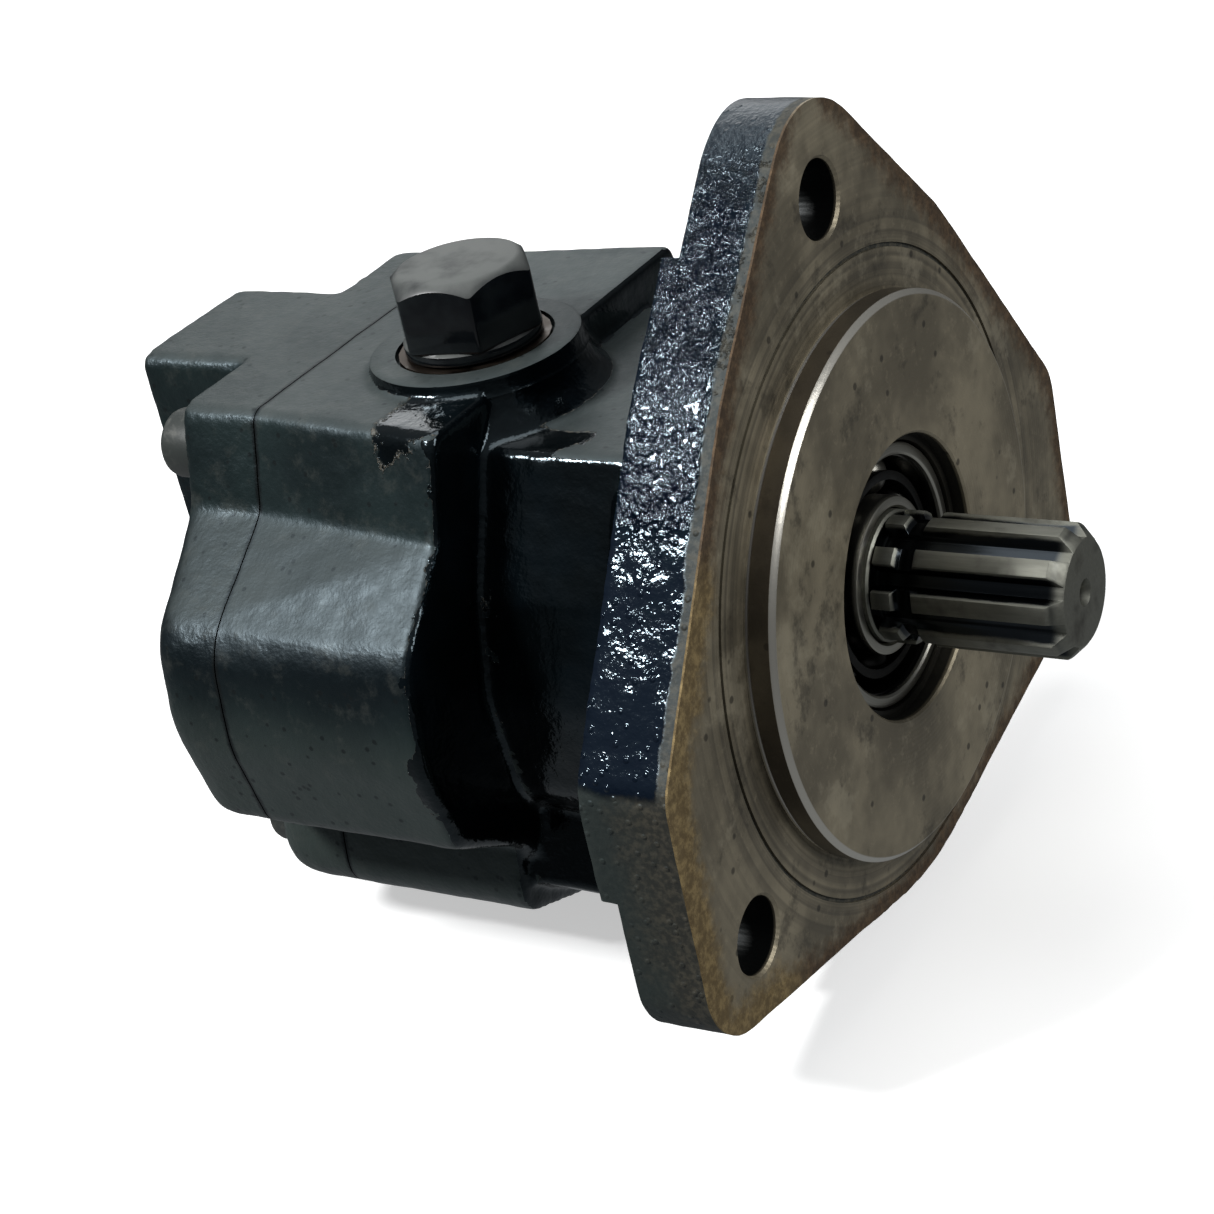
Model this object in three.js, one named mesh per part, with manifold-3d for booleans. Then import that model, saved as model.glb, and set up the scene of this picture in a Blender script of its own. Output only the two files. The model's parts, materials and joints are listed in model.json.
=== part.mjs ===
// Axial piston pump with a fixed swash plate, seven pistons and a three-bolt mounting flange.
// Units are millimetres. The X axis is the shaft axis, +X points out of the flange and +Z is up.
// The origin is on the shaft axis in the plane of the flange's mounting face.

import * as THREE from 'three';
import Module from 'manifold-3d';
import { mergeVertices } from 'three/addons/utils/BufferGeometryUtils.js';

const wasm = await Module();
wasm.setup();

// ---------------------------------------------------------------- driving dimensions

const gap = 0.3;                    // play left between pieces that rest on or turn in each other

const flange = { thickness: 17, ears: [90, 210, 330], boltCircle: 70, hole: 6.75 };
const earSpot = { radius: 24, depth: 3.5 };
const pilot = { radius: 50, height: 5.5, chamfer: 0.8, bore: 25.2 };
const body = { front: -57, rear: -99.5, lobeFront: -59.5 };
const neck = { radius: 45, shelf: 36, shoulder: 30, flare: 56, flareLength: 12, keel: 63, keelAngle: 42 };
const cavity = { front: -27.7, step: -60, frontRadius: 31, rearRadius: 33.5 };

const cover = { front: -99.8, rear: -117, portRear: -143, portHalfWidth: 17, portTop: 44 };
const ports = { pressureZ: 22, pressure: 9.3, suctionZ: -21, suction: 12, spotface: 1.5 };
const boltPlaces = [[30.5, 33.5], [31, -47], [-31, -47], [-30.5, 33.5]];
const bolt = { radius: 4, headRadius: 6.5, headHeight: 8, socket: 3, tip: -76, play: 0.5 };

const boss = { x: -69, y: -9, radius: 19.5, top: 46.5, spotRadius: 14.6, spotDepth: 2 };
const plug = { flats: 24, height: 15, thread: 10.5, length: 11, collar: 12.6 };

const bearing = { front: 2, width: 14, outer: 23.5, bore: 12, pitch: 17.4 };
const balls = { count: 9, radius: 3.97, start: 12 };
const shaft = { tip: 37.7, spline: 11.7, root: 9.3, teeth: 9, turn: 13, main: 10, journal: 8.5, end: -114 };
const innerSpline = { tip: 10, root: 8.8, teeth: 12, from: -71, to: -60 };

const swashAngle = THREE.MathUtils.degToRad(12);
const ballPlane = -52;              // where the plane of the piston ball centres cuts the shaft axis
const pistons = { count: 7, circle: 22, radius: 6, bore: 6.6, length: 30, ball: 4 };
const slipper = { flange: 7, sole: 6.5, flangeThickness: 2.2, neck: 5.5, lip: 1.6, socket: 4.45 };
const barrel = { front: -61.5, rear: -95.4, radius: 32, boreEnd: -90.5, recess: 14, recessFront: -71 };
const guide = { radius: 13.5, front: 5.5, back: -6.5 };
const ringRadius = 2 * pistons.circle / (1 + Math.cos(swashAngle));

// ---------------------------------------------------------------- materials

const paint = { colour: '#2b302f', roughness: 0.55, metalness: 0 };
const blackPaint = { colour: '#141719', roughness: 0.3, metalness: 0 };
const castIron = { colour: '#5a544a', roughness: 0.6, metalness: 0.7 };
const steel = { colour: '#8f8e88', roughness: 0.35, metalness: 1 };
const bearingSteel = { colour: '#b9bab8', roughness: 0.2, metalness: 1 };
const blackSteel = { colour: '#2d2c2a', roughness: 0.5, metalness: 0.8 };
const bronze = { colour: '#9a7440', roughness: 0.4, metalness: 1 };
const brass = { colour: '#b8953f', roughness: 0.35, metalness: 1 };
const springSteel = { colour: '#55534e', roughness: 0.4, metalness: 1 };
const rubber = { colour: '#111111', roughness: 0.8, metalness: 0 };

// ---------------------------------------------------------------- solid helpers

// Turns a closed three.js geometry into a manifold solid with its faces pointing outwards.
function solid(geometry) {
  geometry.deleteAttribute('normal');
  geometry.deleteAttribute('uv');
  const merged = mergeVertices(geometry, 1e-4);
  const vertices = merged.attributes.position.array;
  const corners = merged.index.array;
  const triangles = [];
  let volume = 0;
  for (let i = 0; i < corners.length; i += 3) {
    const [a, b, c] = [corners[i], corners[i + 1], corners[i + 2]];
    if (a === b || b === c || c === a) continue;
    triangles.push(a, b, c);
    const p = new THREE.Vector3().fromArray(vertices, 3 * a);
    const q = new THREE.Vector3().fromArray(vertices, 3 * b);
    const r = new THREE.Vector3().fromArray(vertices, 3 * c);
    volume += p.dot(q.cross(r));
  }
  if (volume < 0) triangles.reverse();
  const mesh = new wasm.Mesh({
    numProp: 3,
    vertProperties: Float32Array.from(vertices),
    triVerts: Uint32Array.from(triangles),
  });
  return new wasm.Manifold(mesh);
}

function joined(parts) {
  return parts.reduce((sum, part) => sum.add(part));
}

function cutBy(part, tools) {
  return tools.reduce((rest, tool) => rest.subtract(tool), part);
}

// Revolves [x, radius] points about the X axis. The profile starts and ends on the axis or closes.
function turned(profile, segments = 32) {
  const points = profile.map(([x, r]) => new THREE.Vector2(r, x));
  const geometry = new THREE.LatheGeometry(points, segments);
  geometry.applyMatrix4(new THREE.Matrix4().set(0, 1, 0, 0, 0, 0, 1, 0, 1, 0, 0, 0, 0, 0, 0, 1));
  return solid(geometry);
}

function rod(radius, x0, x1, segments = 32) {
  return turned([[x0, 0], [x0, radius], [x1, radius], [x1, 0]], segments);
}

function ring(inner, outer, x0, x1, segments = 32) {
  return turned([[x0, inner], [x0, outer], [x1, outer], [x1, inner], [x0, inner]], segments);
}

// Extrudes a closed [y, z] outline from x0 to x1.
function prism(outline, x0, x1) {
  const shape = new THREE.Shape(outline.map(([y, z]) => new THREE.Vector2(y, z)));
  const geometry = new THREE.ExtrudeGeometry(shape, { depth: x1 - x0, bevelEnabled: false, steps: 1 });
  geometry.applyMatrix4(new THREE.Matrix4().set(0, 0, 1, x0, 1, 0, 0, 0, 0, 1, 0, 0, 0, 0, 0, 1));
  return solid(geometry);
}

// Skins closed clockwise [y, z] outlines of equal length that stand at increasing x.
function loft(stations) {
  const count = stations[0].outline.length;
  const positions = stations.flatMap(({ x, outline }) => outline.flatMap(([y, z]) => [x, y, z]));
  const index = [];
  for (let s = 0; s + 1 < stations.length; s += 1) {
    for (let i = 0; i < count; i += 1) {
      const a = s * count + i;
      const b = s * count + (i + 1) % count;
      index.push(a, b + count, b, a, a + count, b + count);
    }
  }
  const last = (stations.length - 1) * count;
  const flat = (station) => station.outline.map(([y, z]) => new THREE.Vector2(y, z));
  for (const [a, b, c] of THREE.ShapeUtils.triangulateShape(flat(stations[0]), [])) index.push(a, c, b);
  for (const [a, b, c] of THREE.ShapeUtils.triangulateShape(flat(stations.at(-1)), [])) {
    index.push(last + a, last + b, last + c);
  }
  const geometry = new THREE.BufferGeometry();
  geometry.setAttribute('position', new THREE.Float32BufferAttribute(positions, 3));
  geometry.setIndex(index);
  return solid(geometry);
}

// Replaces every [y, z, radius] corner by an arc, both for convex and for concave corners.
function rounded(corners, steps = 4) {
  const outline = [];
  corners.forEach(([y, z, radius], i) => {
    if (radius === 0) {
      outline.push([y, z]);
      return;
    }
    const corner = new THREE.Vector2(y, z);
    const before = corners.at(i - 1);
    const after = corners[(i + 1) % corners.length];
    const back = new THREE.Vector2(before[0] - y, before[1] - z).normalize();
    const on = new THREE.Vector2(after[0] - y, after[1] - z).normalize();
    const half = Math.acos(THREE.MathUtils.clamp(back.dot(on), -1, 1)) / 2;
    const middle = back.clone().add(on).normalize();
    const centre = corner.clone().addScaledVector(middle, radius / Math.sin(half));
    const start = corner.clone().addScaledVector(back, radius / Math.tan(half)).sub(centre);
    const sweep = Math.PI - 2 * half;
    const turn = back.cross(on) < 0 ? sweep : -sweep;
    for (let k = 0; k <= steps; k += 1) {
      const point = start.clone().rotateAround(new THREE.Vector2(), turn * k / steps).add(centre);
      outline.push([point.x, point.y]);
    }
  });
  return outline;
}

// Mirrors the right-hand corners, listed from top to bottom, to the left-hand side.
function mirrored(right) {
  const left = right.filter(([y]) => y > 0).map(([y, z, r]) => [-y, z, r]).reverse();
  return [...right, ...left];
}

function arc(radius, from, to, steps) {
  return Array.from({ length: steps + 1 }, (_, i) => {
    const angle = THREE.MathUtils.degToRad(from + (to - from) * i / steps);
    return [radius * Math.cos(angle), radius * Math.sin(angle)];
  });
}

function polar(radius, angle) {
  return [radius * Math.cos(angle), radius * Math.sin(angle)];
}

// Rotates a solid built along X so that it stands along the swash normal through the ball plane.
function onSwash(part) {
  const tilt = new THREE.Matrix4().makeRotationZ(swashAngle);
  tilt.setPosition(ballPlane, 0, 0);
  return part.transform(tilt.elements);
}

// ---------------------------------------------------------------- castings

function flangeOutline() {
  return rounded(mirrored([
    [0, 93.9, 17.5],
    [41.5, 52.1, 30],
    [78.4, 2.2, 9],
    [78.4, -46.6, 13],
    [0, -62.3, 60],
  ]), 6);
}

// A flat-topped upper block stands on two round side bulges. Inset draws the side bulges inwards.
function bodyOutline(topHalfWidth, creaseHalfWidth, inset = 0) {
  return rounded(mirrored([
    [0, 44, 0],
    [topHalfWidth, 44, 3],
    [creaseHalfWidth, 26.5, 3],
    [63.8 - inset, 11 - inset / 3, 12],
    [66.2 - inset, -8 + inset / 3, 20],
    [62 - inset, -26.5 + inset, 4 + inset],
    [44 - inset, -37.5 + inset, 2],
    [34, -52 + inset, 8],
    [0, -60 + inset, 40],
  ]), 2);
}

// The lobe hangs below the body between the two side bulges.
function lobeOutline(inset = 0) {
  return rounded(mirrored([
    [0, -20, 0],
    [42 - inset, -28, 4],
    [46 - inset, -52 + 0.7 * inset, 7],
    [0, -69.5 + 0.9 * inset, 60],
  ]), 2);
}

// A flat shelf on top with square shoulders, and round below.
function neckOutline() {
  return rounded(mirrored([
    [0, neck.shelf, 0],
    [neck.shoulder, neck.shelf, 3],
    [neck.radius, 12, 12],
    [neck.radius, -16, 20],
    [30, -40, 16],
    [0, -46, 30],
  ]), 3);
}

function housingShell() {
  const plate = prism(flangeOutline(), -flange.thickness, 0);
  const spigot = turned([
    [-1, 0],
    [-1, pilot.radius],
    [pilot.height - pilot.chamfer, pilot.radius],
    [pilot.height, pilot.radius - pilot.chamfer],
    [pilot.height, 0],
  ], 48);
  const block = loft([
    { x: body.rear, outline: bodyOutline(37, 42) },
    { x: body.front, outline: bodyOutline(42, 47.5) },
  ]);
  const lobe = prism(lobeOutline(), body.rear, body.lobeFront);
  const barrelNeck = prism(neckOutline(), body.front - 1, -1);
  const flareStart = -flange.thickness - neck.flareLength;
  // The shelf runs flat up to the flange, so the flare ends level with it.
  const flareTop = neck.flare + 1;
  const overShelf = prism([
    [flareTop, neck.shelf],
    [flareTop, flareTop],
    [-flareTop, flareTop],
    [-flareTop, neck.shelf],
  ], flareStart - 1, -flange.thickness);
  const flare = turned([
    [flareStart, 0],
    [flareStart, neck.radius],
    [-flange.thickness - 4, neck.radius + 3],
    [-flange.thickness + 1, neck.flare],
    [-flange.thickness + 1, 0],
  ], 40).subtract(overShelf);
  const keel = prism(
    [...arc(neck.keel, 270 - neck.keelAngle, 270 + neck.keelAngle, 8), [25, 0], [-25, 0]],
    body.lobeFront,
    -1,
  );
  const plugBoss = upright(rod(boss.radius, -boss.top, -30));
  return joined([plate, spigot, block, lobe, barrelNeck, flare, keel, plugBoss]);
}

// Stands a solid that was built along -X upright on the plug boss.
function upright(part) {
  return part.rotate([0, 90, 0]).translate([boss.x, boss.y, 0]);
}

function frontHousing() {
  const bearingBack = bearing.front - bearing.width;
  const sealBack = -22.5;
  const bores = turned([
    [pilot.height + 1, 0],
    [pilot.height + 1, pilot.bore + 1],
    [pilot.height, pilot.bore],
    [bearing.front + 0.3, pilot.bore],
    [bearing.front + 0.3, bearing.outer + gap],
    [bearingBack - gap, bearing.outer + gap],
    [bearingBack - gap, 21],
    [sealBack, 21],
    [sealBack, 15],
    [cavity.front, 15],
    [cavity.front, cavity.frontRadius],
    [cavity.step, cavity.frontRadius],
    [cavity.step, cavity.rearRadius],
    [body.rear - 1, cavity.rearRadius],
    [body.rear - 1, 0],
  ], 36);
  const toolRing = ring(57, 57.8, -0.6, 1, 40);
  const ears = flange.ears.flatMap((degrees) => {
    const [y, z] = polar(flange.boltCircle, THREE.MathUtils.degToRad(degrees));
    const spotface = rod(earSpot.radius, -flange.thickness - 9, -flange.thickness + earSpot.depth, 24);
    const boltHole = rod(flange.hole, -flange.thickness - 1, 1, 20);
    return [spotface.translate([0, y, z]), boltHole.translate([0, y, z])];
  });
  const tappedHoles = boltPlaces.map(([y, z]) => (
    rod(bolt.radius + gap, body.rear - 1, bolt.tip + 2, 12).translate([0, y, z])
  ));
  const plugSpot = upright(rod(boss.spotRadius, -boss.top - 1, -boss.top + boss.spotDepth, 28));
  const plugBore = upright(rod(plug.thread + gap, -boss.top, -30, 20));
  return cutBy(housingShell(), [bores, toolRing, ...ears, ...tappedHoles, plugSpot, plugBore]);
}

function rearCover() {
  const rim = [[0, 8], [1.5, 4], [4, 1.2], [9, 0]].map(([depth, inset]) => ({
    x: cover.rear + depth,
    inset,
  }));
  const stations = [...rim, { x: cover.front, inset: 0 }];
  const plate = loft(stations.map(({ x, inset }) => ({
    x,
    outline: bodyOutline(37 - inset / 8, 42 - inset / 8, inset),
  })));
  const lobe = loft(stations.map(({ x, inset }) => ({ x, outline: lobeOutline(inset / 2) })));
  const portBlock = prism(rounded([
    [cover.portHalfWidth, cover.portTop, 3],
    [cover.portHalfWidth, -42, 6],
    [-cover.portHalfWidth, -42, 6],
    [-cover.portHalfWidth, cover.portTop, 3],
  ], 2), cover.portRear, cover.rear + 4);
  const boltHoles = boltPlaces.map(([y, z]) => (
    rod(bolt.radius + bolt.play, cover.rear - 1, cover.front + 1, 12).translate([0, y, z])
  ));
  const portTools = [[ports.pressureZ, ports.pressure], [ports.suctionZ, ports.suction]].flatMap(
    ([z, radius]) => [
      rod(radius, cover.portRear - 1, -104, 20).translate([0, 0, z]),
      rod(radius + 4.2, cover.portRear - 1, cover.portRear + ports.spotface, 24).translate([0, 0, z]),
    ],
  );
  const pockets = [90, 270].map((degrees) => kidney(degrees, 55, 17.5, 25.5, -106, cover.front + 1));
  const bushBore = rod(11, -115, cover.front + 1, 24);
  const sealGroove = ring(36.2, 38.8, cover.front - 1.6, cover.front + 1, 32);
  const dowelHole = rod(1.5 + gap, cover.front - 3.5, cover.front + 1, 10).translate([0, 28.5, 0]);
  return cutBy(joined([plate, lobe, portBlock]), [
    ...boltHoles, ...portTools, ...pockets, bushBore, sealGroove, dowelHole,
  ]);
}

// An annular slot sector between two radii, centred on an angle, cut from x0 to x1.
function kidney(centre, halfAngle, inner, outer, x0, x1) {
  const outline = [
    ...arc(outer, centre - halfAngle, centre + halfAngle, 5),
    ...arc(inner, centre + halfAngle, centre - halfAngle, 5),
  ];
  return prism(outline, x0, x1);
}

function coverSeal() {
  return ring(36.5, 38.5, cover.front - 1.4, cover.front - 0.1, 32);
}

function coverBolt([y, z]) {
  const headBase = cover.rear - gap;
  const head = turned([
    [headBase - bolt.headHeight, 0],
    [headBase - bolt.headHeight, bolt.headRadius - 1],
    [headBase - bolt.headHeight + 1, bolt.headRadius],
    [headBase, bolt.headRadius],
    [headBase, 0],
  ], 16);
  const shank = rod(bolt.radius, headBase - 1, bolt.tip, 12);
  const hexRecess = rod(bolt.socket, headBase - bolt.headHeight - 1, headBase - 4, 6);
  return head.add(shank).subtract(hexRecess).translate([0, y, z]);
}

// ---------------------------------------------------------------- top plug

function hexPlug() {
  const seat = boss.top - boss.spotDepth + 1.5 + 2 * gap;
  const top = seat + plug.height;
  const corner = plug.flats / Math.sqrt(3);
  const hexagon = rod(corner, -top, -seat - 2, 6).rotate([20, 0, 0]);
  const chamfer = turned([
    [-top, 0],
    [-top, plug.flats / 2 - 1],
    [-top + 2.4, corner + 0.6],
    [-seat, corner + 0.6],
    [-seat, 0],
  ], 24);
  const collar = rod(plug.collar, -seat - 2.2, -seat, 24);
  const thread = rod(plug.thread, -seat - 1, -seat + plug.length, 20);
  return upright(joined([hexagon.intersect(chamfer), collar, thread]));
}

function plugSeal() {
  const base = boss.top - boss.spotDepth + gap;
  return upright(ring(plug.thread + gap, 14, -base - 1.5, -base, 24));
}

// ---------------------------------------------------------------- shaft line

function splineOutline(root, tip, teeth, landShare, rootShare, turn = 0) {
  const pitch = 360 / teeth;
  const outline = [];
  for (let i = 0; i < teeth; i += 1) {
    const centre = turn + i * pitch;
    const land = pitch * landShare / 2;
    const foot = pitch * (1 - rootShare) / 2;
    for (const [radius, offset] of [[root, -foot], [tip, -land], [tip, land], [root, foot]]) {
      outline.push(polar(radius, THREE.MathUtils.degToRad(centre + offset)));
    }
  }
  return outline;
}

function driveShaft() {
  const { tip, spline, root, teeth, turn, main, journal, end } = shaft;
  const teethSolid = prism(splineOutline(root, spline, teeth, 0.38, 0.32, turn), 3.3, tip);
  const envelope = turned([
    [3.3, 0],
    [3.3, spline + 1],
    [6, spline + 1],
    [7.4, 10.3],
    [10, 10.3],
    [11.4, spline + 1],
    [tip - 3, spline + 1],
    [tip, spline - 2],
    [tip, 0],
  ], 20);
  const stem = turned([
    [end, 0],
    [end, journal - 1],
    [end + 1, journal],
    [innerSpline.from, journal],
    [innerSpline.from, innerSpline.root - 0.2],
    [innerSpline.to, innerSpline.root - 0.2],
    [innerSpline.to, main],
    [-24, main],
    [-23, 13],
    [bearing.front - bearing.width - 1.2, 13],
    [bearing.front - bearing.width - 1.2, 13.6],
    [bearing.front - bearing.width - gap, 13.6],
    [bearing.front - bearing.width - gap, bearing.bore - gap],
    [bearing.front + 0.8, bearing.bore - gap],
    [bearing.front + 0.8, root + 0.3],
    [4, root + 0.3],
    [4, 0],
  ], 24);
  const drive = prism(
    splineOutline(innerSpline.root - 0.2, innerSpline.tip, innerSpline.teeth, 0.4, 0.4),
    innerSpline.from,
    innerSpline.to,
  );
  const centreHole = turned([[tip + 1, 0], [tip + 1, 2.6], [tip - 2, 1.4], [tip - 5, 1.4], [tip - 5, 0]], 10);
  return joined([teethSolid.intersect(envelope), stem, drive]).subtract(centreHole);
}

function bearingRace(outerRace) {
  const { front, width, pitch } = bearing;
  const back = front - width;
  const middle = (front + back) / 2;
  const groove = balls.radius + 0.15;
  const steps = 4;
  const reach = 0.62;
  const side = outerRace ? 1 : -1;
  const shoulder = pitch + side * groove * Math.cos(reach);
  const wall = outerRace ? bearing.outer : bearing.bore;
  const track = Array.from({ length: steps + 1 }, (_, i) => {
    const angle = reach - 2 * reach * i / steps;
    return [middle + groove * Math.sin(angle), pitch + side * groove * Math.cos(angle)];
  });
  return turned([
    [front, wall - side * 0.6],
    [front, shoulder],
    ...track,
    [back, shoulder],
    [back, wall - side * 0.6],
    [back + 0.6, wall],
    [front - 0.6, wall],
    [front, wall - side * 0.6],
  ], 28);
}

function bearingCage() {
  const { front, width, pitch } = bearing;
  const middle = front - width / 2;
  const band = ring(pitch - 0.7, pitch + 0.9, middle - 5.2, middle + 5.2, 27);
  const pocket = rod(balls.radius + 0.4, -4, 4, 12).rotate([0, 90, 0]);
  const pockets = Array.from({ length: balls.count }, (_, i) => (
    pocket.translate([middle, 0, pitch]).rotate([360 * i / balls.count + balls.start, 0, 0])
  ));
  return cutBy(band, pockets);
}

function bearingBall(i) {
  const angle = THREE.MathUtils.degToRad(90 + 360 * i / balls.count + balls.start);
  const [y, z] = polar(bearing.pitch, angle);
  return solid(new THREE.IcosahedronGeometry(balls.radius, 1))
    .translate([bearing.front - bearing.width / 2, y, z]);
}

function shaftSeal() {
  return turned([
    [-22.2, 15.5],
    [-22.2, 20.7],
    [-14, 20.7],
    [-14, 19.5],
    [-21, 19.5],
    [-21, 16.5],
    [-17, 14.6],
    [-16.5, 13.4],
    [-17.4, 13.4],
    [-22.2, 15.5],
  ], 24);
}

function rearBush() {
  return ring(shaft.journal + gap, 11 - gap, -113, -100.5, 24);
}

// ---------------------------------------------------------------- swash plate and slippers

function swashPlate() {
  const seat = cavity.front - gap;
  const blank = rod(30.5, ballPlane, seat, 32);
  const faceDistance = slipper.sole + 2 * gap + 3;
  const waste = onSwash(rod(60, -60, faceDistance, 8));
  const hole = rod(14, ballPlane - 1, seat + 1, 24);
  return cutBy(blank, [waste, hole]);
}

// The plate is centred on the shaft axis although it lies square to the tilted swash normal.
function wearPlate() {
  const face = slipper.sole + gap;
  const plate = ring(15, 29.6, face, face + 3 - gap, 32);
  return onSwash(plate.translate([0, -(face + 1.5) * Math.tan(swashAngle), 0]));
}

function retainerPlate() {
  const lower = slipper.sole - slipper.flangeThickness - gap;
  const seat = guide.radius + gap;
  const innerFront = Math.sqrt(seat ** 2 - (lower - 1.6) ** 2) + 0.3;
  const innerBack = Math.sqrt(seat ** 2 - lower ** 2) + 0.4;
  const plate = turned([
    [lower, innerBack],
    [lower, 29],
    [lower - 1.6, 29],
    [lower - 1.6, innerFront],
    [lower, innerBack],
  ], 32);
  const holes = Array.from({ length: pistons.count }, (_, i) => {
    const [y, z] = polar(ringRadius, 2 * Math.PI * i / pistons.count);
    return rod(slipper.neck + gap, -10, 20, 14).translate([0, y, z]);
  });
  return onSwash(cutBy(plate, holes));
}

function guideBall() {
  const steps = 5;
  const start = Math.asin(guide.back / guide.radius);
  const stop = Math.asin(guide.front / guide.radius);
  const dome = Array.from({ length: steps + 1 }, (_, i) => {
    const angle = start + (stop - start) * i / steps;
    return [ballPlane + guide.radius * Math.sin(angle), guide.radius * Math.cos(angle)];
  });
  return turned([
    [ballPlane + guide.back, shaft.main + gap],
    ...dome,
    [ballPlane + guide.front, shaft.main + gap],
    [ballPlane + guide.back, shaft.main + gap],
  ], 24);
}

// The sole lies on the wear plate and the socket opens towards the cylinder barrel.
function slipperSolid(i) {
  const { flange: wide, sole, flangeThickness, neck: narrow, lip, socket } = slipper;
  const mouth = Math.sqrt(socket ** 2 - lip ** 2);
  const steps = 4;
  const from = Math.asin(-lip / socket);
  const bowl = Array.from({ length: steps }, (_, k) => {
    const angle = from + (Math.PI / 2 - from) * (k + 1) / steps;
    return [socket * Math.sin(angle), socket * Math.cos(angle)];
  });
  const profile = [
    [sole, 0],
    [sole, wide],
    [sole - flangeThickness, wide],
    [sole - flangeThickness, narrow],
    [-lip, narrow],
    [-lip, mouth],
    ...bowl.slice(0, -1),
    [socket, 0],
  ];
  const [y, z] = polar(ringRadius, 2 * Math.PI * i / pistons.count);
  return onSwash(turned(profile, 14).translate([0, y, z]));
}

// Centre of the i-th piston ball, on the tilted circle of the slippers.
function ballCentre(i) {
  const [y, z] = polar(ringRadius, 2 * Math.PI * i / pistons.count);
  return [ballPlane - y * Math.sin(swashAngle), y * Math.cos(swashAngle), z];
}

function pistonSolid(i) {
  const { radius, length, ball } = pistons;
  const steps = 5;
  const from = Math.asin(2.6 / ball) - Math.PI / 2;
  const head = Array.from({ length: steps }, (_, k) => {
    const angle = from + (Math.PI / 2 - from) * k / steps;
    return [ball * Math.sin(angle), ball * Math.cos(angle)];
  });
  const profile = [
    [-length + 20, 0],
    [-length + 20, 3.4],
    [-length, 3.4],
    [-length, radius],
    [-8.4, radius],
    [-7, 2.6],
    ...head,
    [ball, 0],
  ];
  return turned(profile, 12).translate(ballCentre(i));
}

// ---------------------------------------------------------------- cylinder barrel

function cylinderBarrel() {
  const blank = turned([
    [barrel.rear, 0],
    [barrel.rear, 28.5],
    [barrel.rear + 4, 28.5],
    [barrel.rear + 6, barrel.radius],
    [barrel.front - 1, barrel.radius],
    [barrel.front, barrel.radius - 1],
    [barrel.front, 0],
  ], 42);
  const bores = [];
  const slots = [];
  for (let i = 0; i < pistons.count; i += 1) {
    const angle = 2 * Math.PI * i / pistons.count;
    const [y, z] = polar(pistons.circle, angle);
    bores.push(rod(pistons.bore, barrel.boreEnd, barrel.front + 1, 16).translate([0, y, z]));
    slots.push(kidney(THREE.MathUtils.radToDeg(angle), 10, 19.5, 23.5, barrel.rear - 1, barrel.boreEnd + 1));
  }
  const centre = turned([
    [barrel.rear - 1, 0],
    [barrel.rear - 1, 11],
    [barrel.rear + 3, 11],
    [barrel.rear + 3, barrel.recess],
    [barrel.recessFront, barrel.recess],
    [barrel.recessFront, 0],
  ], 24);
  const splineBore = prism(
    splineOutline(innerSpline.root + gap, innerSpline.tip + gap, innerSpline.teeth, 0.52, 0.28),
    barrel.recessFront - 1,
    barrel.front + 1,
  );
  return cutBy(blank, [...bores, ...slots, centre, splineBore]);
}

class Helix extends THREE.Curve {
  constructor(radius, x0, x1, turns) {
    super();
    Object.assign(this, { radius, x0, x1, turns });
  }

  getPoint(t, target = new THREE.Vector3()) {
    const angle = 2 * Math.PI * this.turns * t;
    const x = this.x0 + (this.x1 - this.x0) * t;
    return target.set(x, this.radius * Math.cos(angle), this.radius * Math.sin(angle));
  }
}

function barrelSpring() {
  const wire = 0.85;
  const shape = new THREE.Shape(arc(wire, 0, 300, 5).map(([y, z]) => new THREE.Vector2(y, z)));
  const geometry = new THREE.ExtrudeGeometry(shape, {
    steps: 48,
    bevelEnabled: false,
    extrudePath: new Helix(11.9, -88.4, -74.2, 5),
  });
  return solid(geometry);
}

function valvePlate() {
  const front = barrel.rear - gap;
  const back = cover.front + gap;
  const disc = ring(12, 31, back, front, 32);
  const pressure = kidney(90, 52, 19, 24, back - 1, front + 1);
  const suction = kidney(270, 55, 18.5, 24.5, back - 1, front + 1);
  const pinHole = rod(1.5 + gap, back - 1, front + 1, 10).translate([0, 28.5, 0]);
  return cutBy(disc, [pressure, suction, pinHole]);
}

function dowelPin() {
  return rod(1.5, cover.front - 3.2, barrel.rear - gap - 0.2, 10).translate([0, 28.5, 0]);
}

// ---------------------------------------------------------------- assembly

const assembly = new THREE.Group();
assembly.name = 'axial_piston_pump';

function add(name, part, look) {
  const { vertProperties, triVerts } = part.getMesh();
  const geometry = new THREE.BufferGeometry();
  geometry.setAttribute('position', new THREE.BufferAttribute(vertProperties, 3));
  geometry.setIndex(new THREE.BufferAttribute(triVerts, 1));
  geometry.computeVertexNormals();
  const { colour, ...rest } = look;
  const mesh = new THREE.Mesh(geometry, new THREE.MeshStandardMaterial({ color: colour, ...rest }));
  mesh.name = name;
  assembly.add(mesh);
}

function addEach(prefix, count, build, look) {
  for (let i = 0; i < count; i += 1) add(`${prefix}_${i + 1}`, build(i), look);
}

add('front_housing', frontHousing(), paint);
add('rear_cover', rearCover(), paint);
add('cover_seal', coverSeal(), rubber);
addEach('cover_bolt', boltPlaces.length, (i) => coverBolt(boltPlaces[i]), blackSteel);
add('hex_plug', hexPlug(), blackPaint);
add('plug_seal', plugSeal(), brass);

add('drive_shaft', driveShaft(), steel);
add('bearing_outer_race', bearingRace(true), bearingSteel);
add('bearing_inner_race', bearingRace(false), bearingSteel);
add('bearing_cage', bearingCage(), castIron);
addEach('bearing_ball', balls.count, bearingBall, bearingSteel);
add('shaft_seal', shaftSeal(), rubber);
add('rear_bush', rearBush(), bronze);

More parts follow.
